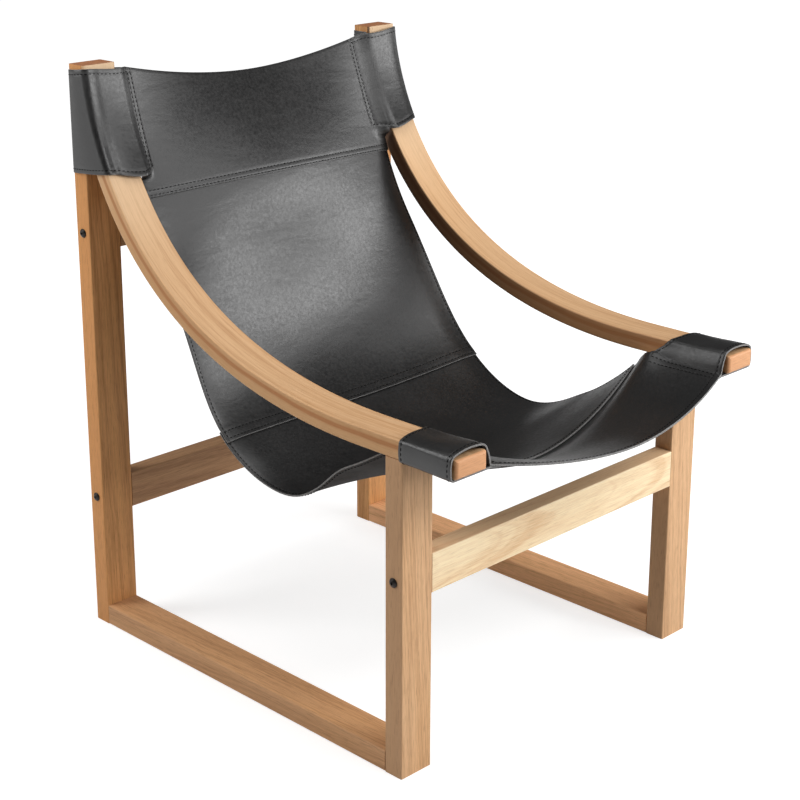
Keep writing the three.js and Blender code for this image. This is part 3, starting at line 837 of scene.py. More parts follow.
# A stitch's thread from hole to hole: place along it as a share of its length, and its rise and width as
# shares of the thread's radius
STITCH_SHAPE = [
    (-0.5, -0.75, 0.55),
    (-0.4, 0.1, 0.9),
    (-0.15, 0.55, 1.0),
    (0.15, 0.55, 1.0),
    (0.4, 0.1, 0.9),
    (0.5, -0.75, 0.55),
]
STITCH_SIDES = 6


def smooth_mesh(name, points, faces):
    """A mesh with soft shading"""
    mesh = bpy.data.meshes.new(name)
    mesh.from_pydata(points, [], faces)
    mesh.polygons.foreach_set("use_smooth", [True] * len(mesh.polygons))
    return mesh


def sheet_mesh(name, grid, covers=None):
    """A mesh over a grid's cells, leaving out those where `covers` is false"""
    if not np.isfinite(grid).all():
        raise RuntimeError("The leather of " + name + " has no place; check its sizes")
    rows, columns = grid.shape[:2]
    index = np.arange(rows * columns).reshape(rows, columns)
    corners = [index[:-1, :-1], index[1:, :-1], index[1:, 1:], index[:-1, 1:]]
    faces = np.stack(corners, axis=-1).reshape(-1, 4)
    if covers is not None:
        faces = faces[covers.reshape(-1)]
    used, faces = np.unique(faces, return_inverse=True)
    return smooth_mesh(name, grid.reshape(-1, 3)[used].tolist(), faces.reshape(-1, 4).tolist())


def tube_faces(start, rings, sides):
    """Faces of a closed tube whose rings of points follow each other from `start`"""
    faces = []
    last = start + (rings - 1) * sides
    for low in range(start, last, sides):
        for i in range(sides):
            j = (i + 1) % sides
            faces.append([low + i, low + j, low + sides + j, low + sides + i])
    faces.append([start + i for i in reversed(range(sides))])
    faces.append([last + i for i in range(sides)])
    return faces


def placed(name, mesh, materials):
    """A new piece with that mesh, in the scene"""
    for material in materials:
        mesh.materials.append(material)
    piece = bpy.data.objects.new(name, mesh)
    bpy.context.scene.collection.objects.link(piece)
    return piece


def leather_materials():
    """Finished side, underside and cut edge, each made once"""
    made = bpy.data.materials.get
    return [
        made("black_leather") or black_leather(),
        made("flesh_side") or suede(),
        made("cut_edge") or raw_edge(),
    ]


def leather_piece(name, grid, covers=None):
    """Makes a grid as thick as the leather, with cut edges that are a little rounded"""
    piece = placed(name, sheet_mesh(name, grid, covers), leather_materials())
    thick = piece.modifiers.new("thickness", "SOLIDIFY")
    thick.thickness = sizes("leather").thickness
    thick.offset = 0
    thick.use_rim = True
    thick.material_offset = 1
    thick.material_offset_rim = 2
    bevel = piece.modifiers.new("edges", "BEVEL")
    bevel.width = CUT_ROUND
    bevel.segments = 2
    bevel.limit_method = "ANGLE"
    bevel.angle_limit = math.radians(CUT_ANGLE)
    return piece


def points_at(places, run, line):
    """Points at distances along a line whose own points lie at the distances in `run`"""
    return np.stack([np.interp(places, run, line[:, i]) for i in range(3)], axis=-1)


def stitches(name, paths):
    """Short threads along paths of points, each with its normals"""
    leather = sizes("leather")
    turn = np.arange(STITCH_SIDES) * 2 * math.pi / STITCH_SIDES
    points, faces = [], []
    for line, normals in paths:
        steps = np.linalg.norm(np.diff(line, axis=0), axis=1)
        run = np.concatenate([[0], np.cumsum(steps)])
        count = int((run[-1] - leather.stitch) / leather.pitch) + 1
        spare = run[-1] - (count - 1) * leather.pitch
        for k in range(count):
            middle = spare / 2 + k * leather.pitch
            places = [middle - STITCH_NUDGE, middle, middle + STITCH_NUDGE]
            before, here, after = points_at(places, run, line)
            along = (after - before) / np.linalg.norm(after - before)
            up = points_at(middle, run, normals)
            up -= along * (up @ along)
            up /= np.linalg.norm(up)
            over = np.cross(along, up)
            faces += tube_faces(len(points), len(STITCH_SHAPE), STITCH_SIDES)
            for place, rise, width in STITCH_SHAPE:
                base = here + along * place * leather.stitch + up * rise * leather.thread_radius
                for a in turn:
                    ring = over * math.cos(a) + up * math.sin(a)
                    points.append(base + ring * width * leather.thread_radius)
    if not points:
        raise RuntimeError("No stitches fit on the rows of " + name)
    thread = bpy.data.materials.get("waxed_thread") or waxed_thread()
    piece = placed(name, smooth_mesh(name, np.array(points).tolist(), faces), [thread])
    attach(piece, BODY)
    return piece


def row_paths(grid, row, first, last, columns=False):
    """A stitch row on both faces of the leather, along a grid's row or column"""
    normals = normals_of(grid)
    part = np.s_[first:last, row] if columns else np.s_[row, first:last]
    lift = normals[part] * sizes("leather").thickness / 2
    return [(grid[part] + lift, normals[part]), (grid[part] - lift, -normals[part])]


def finish_sheet(piece, node):
    """Lets the piece stand for the node"""
    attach(piece, BODY)
    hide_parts(node)


def lap_lift():
    """How far each of two lapped layers lies from the sling's middle surface"""
    leather = sizes("leather")
    return (leather.thickness + leather.gap) / 2


def panel(name, top_seam, bottom_seam, rows, step=0):
    """A plain panel from under the one above it to over the one below it, with its stitch rows' paths"""
    leather = sizes("leather")
    sling = Sling(ArmSweep())
    start = sling.length_at(top_seam) - leather.lap
    end = sling.length_at(bottom_seam)
    marked = [end - row for row in rows]
    lines = marked_lines(start, end, leather.cell, marked, leather.groove_width)
    edge = 1 - sizes("sleeve").edge_row / INNER
    across = marked_lines(-1, 1, leather.cell / INNER, [-edge, edge], leather.groove_width / INNER)
    way = sling.way_at(lines)[:, None] + 0 * across
    grid = sling.surface(across + 0 * way, way)
    lap = end - leather.lap
    lift = lap_lift() * (2 * smooth(way, top_seam, sling.way_at(lap)) - 1)
    sewn = np.maximum(on_row(lines, marked)[:, None], on_row(across, [-edge, edge]))
    lift = lift - leather.groove * sewn
    lift = lift + step * smooth(lines, lap - TELEGRAPH_RUN[0], lap + TELEGRAPH_RUN[1])[:, None]
    lift = lift + sling.relief(across, way)
    grid = grid + normals_of(grid) * lift[..., None]
    paths = []
    for row in row_numbers(lines, marked):
        paths += row_paths(grid, row, 1, -1)
    for column in row_numbers(across, [-edge, edge]):
        paths += row_paths(grid, column, 2, -2, True)
    return leather_piece(name, grid), paths


# Top sleeves and head band

# How far the leather stands off a post's front, in mm, from SWELL_FROM to the post's outer corner:
# at the top hem and at the lower hem, for the -X and the +X sleeve
SWELLS = {
    -1: (
        [3.0, 3.1, 3.2, 3.4, 3.5, 3.3, 3.0, 2.5, 1.5, 1.8],
        [5.0, 5.3, 5.6, 5.8, 5.8, 5.5, 4.8, 3.4, 1.1, 1.8],
    ),
    1: (
        [5.6, 6.2, 6.8, 7.3, 7.6, 7.7, 7.4, 6.7, 5.3, 3.2],
        [6.6, 7.3, 8.0, 8.6, 9.0, 9.2, 9.0, 8.4, 7.1, 4.8],
    ),
}
SWELL_FROM = INNER - 17 * MM
# Where the head band begins to rise to a sleeve's front and where it has risen, in mm from the
# post's inner face: at the top hem and at the lower hem, for the -X and the +X sleeve
RISES = {-1: ([-20, -2], [-33, -7]), 1: ([-33, -2], [-39, 9])}
# How much further in the closing rows stand at the lower hem, as shares of the half width
ROW_LEANS = {-1: 0.055, 1: 0.022}
# Length in which the head band falls back below a sleeve, in mm
FALL_BACK = {-1: 9, 1: 18}
# Rows that close the sleeves, as shares of the head band's half width
TOP_CLOSING = [-0.985, -0.961, 0.875, 0.899]
# Where across the head band its closing rows' lean begins and is whole, and the edge in which it ends
LEAN_RISE = (0.6, 0.9)
LEAN_END = 0.015
# Where the sleeve's front begins to follow the arm's slope as its hem rises, and follows it whole
SLOPE_RANGE = (0.6, 0.95)
# How far above the sleeves' lower hem the closing rows stop pulling
CLOSING_STOP = 4 * MM
# Small steps down and across the sling, which give the direction that it faces
NUDGE_DOWN = 0.002
NUDGE_OVER = 0.004
# Columns: how far a hem's groove runs on past the sleeve, and how far its thread stops before the flap's end
HEM_OVERLAP = 4
HEM_END = 8
# Where across the head band the threads of the sleeves' hems end
HEM_REACH = -0.95
# Points on a sleeve's front, on its side and back, on its inner side and on its flap
FRONT_STEPS = 30
SIDE_STEPS = 9
INNER_STEPS = 6
FLAP_STEPS = 6
# Stitch rows: from the head band's lower edge, from its top hem and from the sleeves' lower hem
HEAD_SEAM_ROWS = (3 * MM, 10.5 * MM)
TOP_HEM_ROW = 7 * MM
LOW_HEM_ROW = 6 * MM


def sleeve_front(sweep, side, x, y, z, way):
    """Depth of the leather in front of a post, where the sheet alone would hang at y"""
    leather = sizes("leather")
    outer = OUTER + leather.lay - sizes("sleeve").top_corner
    down = np.clip(way / TOP_SLEEVE_END, 0, 1)
    last = len(SWELLS[side][0]) - 1
    place = np.clip((x - SWELL_FROM) / (outer - SWELL_FROM), 0, 1) * last
    high, low = [natural_spline(np.array(swell)[:, None])(place)[..., 0] * MM for swell in SWELLS[side]]
    target = sweep.front_at(z) - leather.lay - high - (low - high) * down
    begin, done = [INNER + (top + (foot - top) * down) * MM for top, foot in zip(*RISES[side])]
    return y + (target - y) * smooth((x - begin) / (done - begin))


def top_sleeve_plan(sweep, side, x, y, z, way):
    """A top sleeve seen from above: its front, outer side, back, inner side and the bend into its flap"""
    leather = sizes("leather")
    sleeve = sizes("sleeve")
    inner = INNER - leather.lay
    outer = OUTER + leather.lay
    rear = REAR + leather.lay
    corner = sleeve.top_corner
    bend = sleeve.top_bend
    flap = y + leather.thickness + leather.gap
    face = x + (outer - corner - x) * np.arange(1, FRONT_STEPS + 1) / FRONT_STEPS
    depth = sleeve_front(sweep, side, face, y, z, way)
    plan = [np.stack([face, depth], axis=1)]
    plan.append(arc((outer - corner, depth[-1] + corner), corner, -1, 0))
    plan.append(straight(plan[-1][-1], (outer, rear - corner), SIDE_STEPS, sleeve.side_bulge, (1, 0)))
    plan.append(arc((outer - corner, rear - corner), corner, 0, 1))
    plan.append(straight(plan[-1][-1], (inner + corner, rear), SIDE_STEPS, sleeve.side_bulge, (0, 1)))
    plan.append(arc((inner + corner, rear - corner), corner, 1, 2))
    plan.append(straight(plan[-1][-1], (inner, flap + bend), INNER_STEPS))
    plan.append(arc((inner - bend, flap + bend), bend, 0, -1))
    return np.concatenate(plan)


def flap_under(sling, side, x, way):
    """The flap that a top sleeve ends in, sewn under the head band"""
    leather = sizes("leather")
    sleeve = sizes("sleeve")
    begin = INNER - leather.lay - sleeve.top_bend
    along = np.linspace(min(x, begin), begin - sleeve.top_flap, FLAP_STEPS + 1)[1:]
    under = sling.surface(side * along / x, way + 0 * along)
    down = sling.surface(side * along / x, way + NUDGE_DOWN + 0 * along) - under
    over = sling.surface(side * along / x + NUDGE_OVER, way + 0 * along) - under
    normal = np.cross(down, over)
    normal /= np.linalg.norm(normal, axis=1, keepdims=True)
    under = under - normal * (leather.thickness + leather.gap)
    under[:, 0] = np.abs(under[:, 0])
    return under


def top_sleeve(sling, sweep, side, ways):
    """The head band's path round a post, for each row of its sheet"""
    lay = sizes("leather").lay
    rear = REAR + lay
    rows = []
    for way, edge in zip(ways, sling.surface(side + 0 * ways, ways)):
        x, y, z = abs(edge[0]), edge[1], edge[2]
        plan = top_sleeve_plan(sweep, side, x, y, z, way)
        front = float(sweep.front_at(z)) - lay
        near_front = np.clip((rear - plan[:, 1]) / (rear - front), 0, 1)
        drop = sizes("sleeve").hem_lift * (0.5 + 0.5 * way / TOP_SLEEVE_END)
        heights = z + drop * near_front * smooth(plan[:, 0], INNER - lay, OUTER + lay)
        shift = (sweep.front_at(heights) - sweep.front_at(z)) * smooth(near_front, *SLOPE_RANGE)
        body = np.stack([plan[:, 0], plan[:, 1] + shift * (plan[:, 0] > INNER), heights], axis=1)
        rows.append(np.concatenate([body, flap_under(sling, side, x, way)]))
    path = np.array(rows)
    path[..., 0] *= side
    return path if side > 0 else path[:, ::-1]


def head_band_front(sling, sweep, lines, across, rows):
    """The head band between its two sleeves' fronts, with its seam pulled in on the stitch rows"""
    leather = sizes("leather")
    sleeve_end = sling.length_at(TOP_SLEEVE_END)
    way = sling.way_at(lines)[:, None] + 0 * across
    lean = np.where(across < 0, ROW_LEANS[-1], ROW_LEANS[1]) * np.clip(way / TOP_SLEEVE_END, 0, 1)
    lean = lean * smooth(np.abs(across), *LEAN_RISE) * np.clip((1 - np.abs(across)) / LEAN_END, 0, 1)
    front = sling.surface(across + lean, way)
    end = sling.length_at(HEAD_SEAM)
    lift = lap_lift() * smooth(way, 0.0, sling.way_at(end - leather.lap / 2))
    lift = lift - leather.groove * on_row(lines, rows)[:, None]
    sewn = on_row(across, TOP_CLOSING)[None, :] * (lines[:, None] < sleeve_end - CLOSING_STOP)
    lift = lift - CLOSING_DEPTH * sewn + sling.relief(across, way)
    front = front + normals_of(front) * lift[..., None]
    for column, place in enumerate(across):
        side = 1 if place > 0 else -1
        x, y, z = np.moveaxis(front[:, column], -1, 0)
        risen = sleeve_front(sweep, side, np.abs(x), y, z, way[:, column])
        fade = 1 - smooth(lines, sleeve_end, sleeve_end + FALL_BACK[side] * MM)
        front[:, column, 1] += (risen - y) * fade
    return front


def band_covers(grid, wrap, bare):
    """Which cells of a band are leather: in its bare rows, none of the columns that wrap the timber"""
    covers = np.ones((grid.shape[0] - 1, grid.shape[1] - 1), bool)
    covers[bare, :wrap] = False
    covers[bare, -wrap:] = False
    return covers


class CHAIR_OT_head_band(bpy.types.Operator):
    """Hangs the head band between the posts, with a sewn sleeve round each of them"""

    bl_idname = "chair.head_band"
    bl_label = "Head band"

    def execute(self, context):
        leather = sizes("leather")
        sweep = ArmSweep()
        sling = Sling(sweep)
        end = sling.length_at(HEAD_SEAM)
        sleeve_end = sling.length_at(TOP_SLEEVE_END)
        seam_rows = [end - row for row in HEAD_SEAM_ROWS]
        hem_rows = [TOP_HEM_ROW, sleeve_end - LOW_HEM_ROW]
        upper = marked_lines(0, sleeve_end, leather.cell, hem_rows, leather.groove_width)
        lower = marked_lines(sleeve_end, end, leather.cell, seam_rows, leather.groove_width)
        lines = np.concatenate([upper, lower[1:]])
        half = TOP_HALF * INNER
        across = marked_lines(-1, 1, leather.cell / half, TOP_CLOSING, leather.groove_width / half)
        front = head_band_front(sling, sweep, lines, across, seam_rows)
        ways = np.minimum(sling.way_at(lines), TOP_SLEEVE_END)
        sleeves = [top_sleeve(sling, sweep, side, ways) for side in (-1, 1)]
        grid = np.concatenate([sleeves[0], front, sleeves[1]], axis=1)
        wrap = sleeves[0].shape[1]
        sleeved = grid[: len(upper)]
        hem = on_row(upper, hem_rows)[:, None] * np.ones(grid.shape[1])
        hem[:, wrap + HEM_OVERLAP : -wrap - HEM_OVERLAP] = 0
        sleeved -= normals_of(sleeved) * (hem * leather.groove)[..., None]
        covers = band_covers(grid, wrap, np.s_[len(upper) - 1 :])
        piece = leather_piece("head_band_leather", grid, covers)
        paths = []
        for row in row_numbers(lines, seam_rows):
            paths += row_paths(grid[:, wrap:-wrap], row, 1, -1)
        for column in row_numbers(across, TOP_CLOSING):
            paths += row_paths(sleeved, wrap + column, 1, len(upper) - 1, True)
        reach = wrap + int(np.argmax(across > HEM_REACH))
        last = grid.shape[1]
        for row in row_numbers(upper, hem_rows):
            paths += row_paths(sleeved, row, HEM_END, reach)[:1]
            paths += row_paths(sleeved, row, last - reach, last - HEM_END)[:1]
        threads = stitches("head_band_stitches", paths)
        finish_sheet(piece, "head_band")
        return {"FINISHED"}


class CHAIR_OT_back_panel(bpy.types.Operator):
    """Hangs the back panel from under the head band to over the seat"""

    bl_idname = "chair.back_panel"
    bl_label = "Back panel"

    def execute(self, context):
        piece, paths = panel("back_panel_leather", HEAD_SEAM, SEAT_SEAM, [5 * MM, 17 * MM], TELEGRAPH)
        threads = stitches("back_panel_stitches", paths)
        finish_sheet(piece, "back_panel")
        return {"FINISHED"}


class CHAIR_OT_seat_panel(bpy.types.Operator):
    """Hangs the seat panel from under the back panel to over the front band"""

    bl_idname = "chair.seat_panel"
    bl_label = "Seat panel"

    def execute(self, context):
        piece, paths = panel("seat_panel_leather", SEAT_SEAM, FRONT_SEAM, [6 * MM])
        threads = stitches("seat_panel_stitches", paths)
        finish_sheet(piece, "seat_panel")
        return {"FINISHED"}


# Front sleeves and front band

# Rows that close the sleeves, as shares of the front band's half width
FRONT_CLOSING = [-0.975, -0.94, 0.94, 0.975]
# Stitch rows: from the sleeves' rear edge and from the front hem
REAR_HEM_ROW = 6 * MM
FRONT_HEM_ROW = 8 * MM
# How far behind the sleeves' rear edge the closing rows begin to pull
CLOSING_START = 8 * MM
# Columns: how far a hem's groove runs on past the sleeve, and how far its thread stops before the flap's end
FRONT_HEM_OVERLAP = 3
FRONT_HEM_END = 6
# Points on the wall's lean and on its roll, on the crown, on the outer corner, on the outer side, on the
# underside and on the flap
WALL_STEPS = 9
CROWN_STEPS = 11
TURN_STEPS = 7
DOWN_STEPS = 6
UNDER_STEPS = 8
FRONT_FLAP_POINTS = 5
# Section of a front sleeve in X and Z. Its wall leans from the sheet's edge to the arm's upper inner corner,
# rolls over it and becomes the crown. Places are from that corner of the leather; a row that ends in OPENS
# says by what shares of its stand off and its crown a place moves as the sleeve opens to its mouth.
WALL_FOOT = np.array([0.6, 1.6]) * MM
WALL_BOW = 1.0 * MM
WALL_TOP = np.array([-0.8, -4.5]) * MM
WALL_TOP_OPENS = np.array([-0.7, 0.3])
ROLLED = np.array([6, 0.5]) * MM
ROLLED_OPENS = np.array([-1, 0.72])
ROLLED_REACH = 7.5 * MM
ROLL_PULL = 0.2
CROWN_PULL = 0.34
CROWN_END_OPENS = 0.4
# The outer corner: how much softer it gets at the mouth, and where it begins, in quarter turns
OUTER_SOFTER = 5 * MM
OUTER_TURN = 0.82
OUTER_BOW = 0.8 * MM
# Share of the sleeve over which it opens
OPENS_FROM = 0.25
# Rear edge of the sleeve behind the legs' front: along the wall from the sheet's edge, over the crown, and on
# the underside
WALL_REARS = [19 * MM, 13 * MM, 12 * MM]
WALL_SHARES = [0, 0.4, 0.75, 1]
CROWN_REARS = (12 * MM, 4 * MM)
UNDER_REAR = -0.6 * MM


def hitch(across, way):
    """Lift of the front band's corners, where the arms' sleeves begin to pull them up"""
    near = np.exp(-(((way - FRONT_SLEEVE) / HITCH_LENGTH) ** 2))
    return HITCH * smooth(np.abs(across), HITCH_FROM, 1.0) * near


def sleeve_wall(foot, corner, opening, opened):
    """The inner wall from the sheet's edge and its roll over the arm, with the point that pulls the roll"""
    low = foot + WALL_FOOT
    top = corner + WALL_TOP + WALL_TOP_OPENS * opening
    rolled = corner + ROLLED + ROLLED_OPENS * opening + np.array([ROLLED_REACH * opened, 0])
    rise = (top - low) / np.linalg.norm(top - low)
    bend = top + rise * (rolled[1] - ROLL_PULL * opening[1] - top[1]) / rise[1]
    lean = straight(low, top, WALL_STEPS, WALL_BOW, (-rise[1], rise[0]))
    roll = bezier([top, bend, rolled], WALL_STEPS)
    return np.concatenate([[(foot + low) / 2, low], lean, roll]), bend


def sleeve_crown(rolled, bend, last, tilt):
    """The top, from where the wall has rolled over to the outer corner"""
    reach = CROWN_PULL * (last[0] - rolled[0])
    first_pull = rolled + (rolled - bend) * reach / (rolled[0] - bend[0])
    last_pull = last + reach * np.array([-1, math.cos(tilt) / math.sin(tilt)])
    return bezier([rolled, first_pull, last_pull, last], CROWN_STEPS)


def front_sleeve_section(foot, rear_edge, opened):
    """A front sleeve's section from the sheet's edge round the arm, and its rear edge at each point"""
    leather = sizes("leather")
    sleeve = sizes("sleeve")
    outer = OUTER + leather.lay
    over = ARM_UNDER + sizes("timber").arm_thickness + leather.lay
    under = ARM_UNDER - leather.lay
    corner = sleeve.front_corner
    off, peak = opening = np.array([sleeve.stand_off, sleeve.crown]) * opened
    wall, bend = sleeve_wall(foot, np.array([INNER - leather.lay, over]), opening, opened)
    soft = corner + OUTER_SOFTER * opened
    tilt = OUTER_TURN * math.pi / 2
    centre = np.array([outer + off - soft, over + CROWN_END_OPENS * peak - soft * math.sin(tilt)])
    last = centre + soft * np.array([math.cos(tilt), math.sin(tilt)])
    crown = sleeve_crown(wall[-1], bend, last, tilt)
    turn_out = arc(centre, soft, OUTER_TURN, 0, TURN_STEPS)
    down = straight(turn_out[-1], (outer + off, under + corner), DOWN_STEPS, OUTER_BOW, (1, 0))
    turn_under = arc((outer + off - corner, under + corner), corner, 0, -1)
    back = straight(turn_under[-1], (INNER, under), UNDER_STEPS)
    shares = np.arange(1, len(wall) + 1) / len(wall)
    wall_rear = np.interp(shares, WALL_SHARES, [rear_edge - FRONT, *WALL_REARS])
    part = np.arange(1, CROWN_STEPS + 1) / CROWN_STEPS
    crown_rear = CROWN_REARS[0] + (CROWN_REARS[1] - CROWN_REARS[0]) * part
    rears = FRONT + np.concatenate([
        wall_rear,
        crown_rear,
        np.full(len(turn_out) + len(down), CROWN_REARS[1]),
        np.linspace(CROWN_REARS[1], UNDER_REAR, len(turn_under)),
        np.full(len(back), UNDER_REAR),
    ])
    return np.concatenate([wall, crown, turn_out, down, turn_under, back]), rears


def front_sleeve(sling, side, shares):
    """The front band's path over an arm, for each row from its rear edge to its mouth"""
    leather = sizes("leather")
    sleeve = sizes("sleeve")
    mouth = ARM_MOUTH + sleeve.mouth
    rear_edge = float(sling.surface(np.array(side), np.array(FRONT_SLEEVE))[1])
    under_rear = FRONT + UNDER_REAR
    rows = []
    for part in shares:
        way = FRONT_SLEEVE + (1 - FRONT_SLEEVE) * part
        edge = sling.surface(np.array(side), np.array(way))
        x = abs(edge[0])
        foot = np.array([x, edge[2] + hitch(1.0, way)])
        plan, rears = front_sleeve_section(foot, rear_edge, smooth(part, OPENS_FROM, 1.0))
        body = np.stack([plan[:, 0], rears + (mouth - rears) * part, plan[:, 1]], axis=1)
        flap_depth = under_rear + (mouth - under_rear) * part
        flap_way = FRONT_SLEEVE + (1 - FRONT_SLEEVE) * (rear_edge - flap_depth) / (rear_edge - mouth)
        along = np.linspace(x, x - sleeve.front_flap, FRONT_FLAP_POINTS)
        below = sling.surface(side * along / x, flap_way + 0 * along)
        below[:, 0] = np.abs(below[:, 0])
        below[:, 1] = flap_depth
        below[:, 2] -= leather.thickness + leather.gap
        rows.append(np.concatenate([body, below]))
    path = np.array(rows)
    path[..., 0] *= side
    return path if side > 0 else path[:, ::-1]


def front_band_middle(sling, lines, ways, across):
    """The front band between its two sleeves"""
    sleeve_start = sling.length_at(FRONT_SLEEVE)
    way = ways[:, None] + 0 * across
    middle = sling.surface(across + 0 * way, way)
    lift = sling.relief(across, way) - lap_lift() * (1 - smooth(way, FRONT_SEAM, FRONT_SLEEVE))
    sewn = on_row(across, FRONT_CLOSING)[None, :] * (lines[:, None] > sleeve_start + CLOSING_START)
    lift = lift + hitch(across, way) - sizes("leather").groove * sewn
    return middle + normals_of(middle) * lift[..., None]


class CHAIR_OT_front_band(bpy.types.Operator):
    """Hangs the front band between the arms, with a sewn sleeve over each of them"""

    bl_idname = "chair.front_band"
    bl_label = "Front band"

    def execute(self, context):
        leather = sizes("leather")
        sling = Sling(ArmSweep())
        sleeve_start = sling.length_at(FRONT_SLEEVE)
        start = sling.length_at(FRONT_SEAM) - leather.lap
        end = sling.length_at(1.0)
        run = end - sleeve_start
        hem_rows = [sleeve_start + REAR_HEM_ROW, end - FRONT_HEM_ROW]
        upper = marked_lines(start, sleeve_start, leather.cell, [], leather.groove_width)
        lower = marked_lines(sleeve_start, end, leather.cell, hem_rows, leather.groove_width)
        lines = np.concatenate([upper, lower[1:]])
        half = FRONT_HALF * INNER
        across = marked_lines(-1, 1, leather.cell / half, FRONT_CLOSING, leather.groove_width / half)
        ways = FRONT_SLEEVE + (1 - FRONT_SLEEVE) * (lines - sleeve_start) / run
        ways = np.where(lines < sleeve_start, sling.way_at(lines), ways)
        middle = front_band_middle(sling, lines, ways, across)
        shares = np.clip((lines - sleeve_start) / run, 0, 1)
        sleeves = [front_sleeve(sling, side, shares) for side in (-1, 1)]
        grid = np.concatenate([sleeves[0], middle, sleeves[1]], axis=1)
        wrap = sleeves[0].shape[1]
        first = len(upper) - 1
        sleeved = grid[first:]
        hem = on_row(lines[first:], hem_rows)[:, None] * np.ones(grid.shape[1])
        bare = np.s_[wrap + FRONT_HEM_OVERLAP : -wrap - FRONT_HEM_OVERLAP]
        hem[: len(hem) // 2, bare] = 0
        sleeved -= normals_of(sleeved) * (hem * leather.groove)[..., None]
        covers = band_covers(grid, wrap, np.s_[:first])
        piece = leather_piece("front_band_leather", grid, covers)
        rows = row_numbers(lines[first:], hem_rows)
        last = grid.shape[1]
        paths = row_paths(sleeved, rows[0], FRONT_HEM_END, wrap - 1)[:1]
        paths += row_paths(sleeved, rows[0], last - wrap + 1, last - FRONT_HEM_END)[:1]
        paths += row_paths(sleeved, rows[1], FRONT_HEM_END, last - FRONT_HEM_END)
        for column in row_numbers(across, FRONT_CLOSING):
            paths += row_paths(sleeved, wrap + column, rows[0], rows[1], True)
        threads = stitches("front_band_stitches", paths)
        finish_sheet(piece, "front_band")
        return {"FINISHED"}


# Timber and steel

# Member: fibre axis, place of the heart of the tree beside it in metres, its tone, and that of its -X side
# or, where it lies across, of its top
# That second tone is partly the wood's own and partly painted light on that face
MEMBERS = {
    "left_rear_post": ("z", (0.11, -0.05, 0.3), "amber", "amber"),
    "right_rear_post": ("z", (0.42, -0.11, 1.1), "amber", "copper"),
    "left_front_leg": ("z", (-0.2, 0.36, 2.3), "tan", "brown"),
    "right_front_leg": ("z", (0.39, 0.37, 3.2), "tan", "brown"),
    "left_bottom_rail": ("y", (-0.22, 0.06, 0.7), "honey", "honey"),
    "right_bottom_rail": ("y", (0.36, 0.1, 1.9), "russet", "russet"),
    "front_stretcher": ("x", (0.34, -0.3, 0.4), "cream", "honey"),
    "rear_stretcher": ("x", (-0.34, -0.16, 1.4), "brown", "brown"),
    "upper_rear_rail": ("x", (-0.3, -0.52, 2.6), "brown", "brown"),
}
# How dark the pores are, and in the palest wood
PORES = 0.3
PALE_PORES = 0.2
# How far the other tone, partly painted light, covers a -X side and a top
SIDE_COVER = 0.8
TOP_COVER = 0.5


def toned(tone):
    """The early and late wood colours of a tone"""
    timber = sizes("timber")
    return tuple(getattr(timber, tone)), tuple(getattr(timber, tone + "_dark"))


def face_tone_and_light(tone, across):
    """Another tone on the side that faces -X, or on top of a member that lies across, partly painted light"""

    def marks(shader):
        facing = shader.facing()
        side, cover = (facing[2], TOP_COVER) if across else (0 - facing[0], SIDE_COVER)
        return [(toned(tone)[0], side.step(*SIDE_ON) * cover)]

    return marks


class CHAIR_OT_timber(bpy.types.Operator):
    """Finishes the posts, legs, rails and cross members in oiled timber"""

    bl_idname = "chair.timber"
    bl_label = "Timber"

    def execute(self, context):
        for node, (axis, heart, tone, side_tone_and_light) in MEMBERS.items():
            marks = None if side_tone_and_light == tone else face_tone_and_light(side_tone_and_light, axis == "x")
            edge = member_edge(node, axis)
            pores = PALE_PORES if tone == "cream" else PORES
            name = "timber_" + node
            dress(node, oiled_timber(name, along_axis(axis), heart, toned(tone), edge, marks, pores=pores))
        return {"FINISHED"}


# Room between a bent arm and the post behind it, and points on the arm's corners, sides, end and run
ARM_GAP = 0.3 * MM
ARM_CORNER_STEPS = 5
ARM_SIDE_STEPS = 6
ARM_END_STEPS = 5
ARM_RUN_STEPS = 129
# Angle from which an edge of the arm is drawn sharp, in degrees
SHARP_FROM = 40


def arm_section():
    """The arm's section as places across it and up through its thickness, with rounded corners"""
    timber = sizes("timber")
    half = (OUTER - INNER) / 2
    thick = timber.arm_thickness
    radius = timber.arm_edge
    corners = []
    for x, t, turn in ((half, 0, -1), (half, thick, 0), (-half, thick, 1), (-half, 0, 2)):
        centre = (x - math.copysign(radius, x), t + (radius if t == 0 else -radius))
        corners.append(arc(centre, radius, turn, turn + 1, ARM_CORNER_STEPS))
    ring = []
    for corner, following in zip(corners, corners[1:] + corners[:1]):
        ring += [corner, straight(corner[-1], following[0], ARM_SIDE_STEPS)[:-1]]
    return np.concatenate(ring)


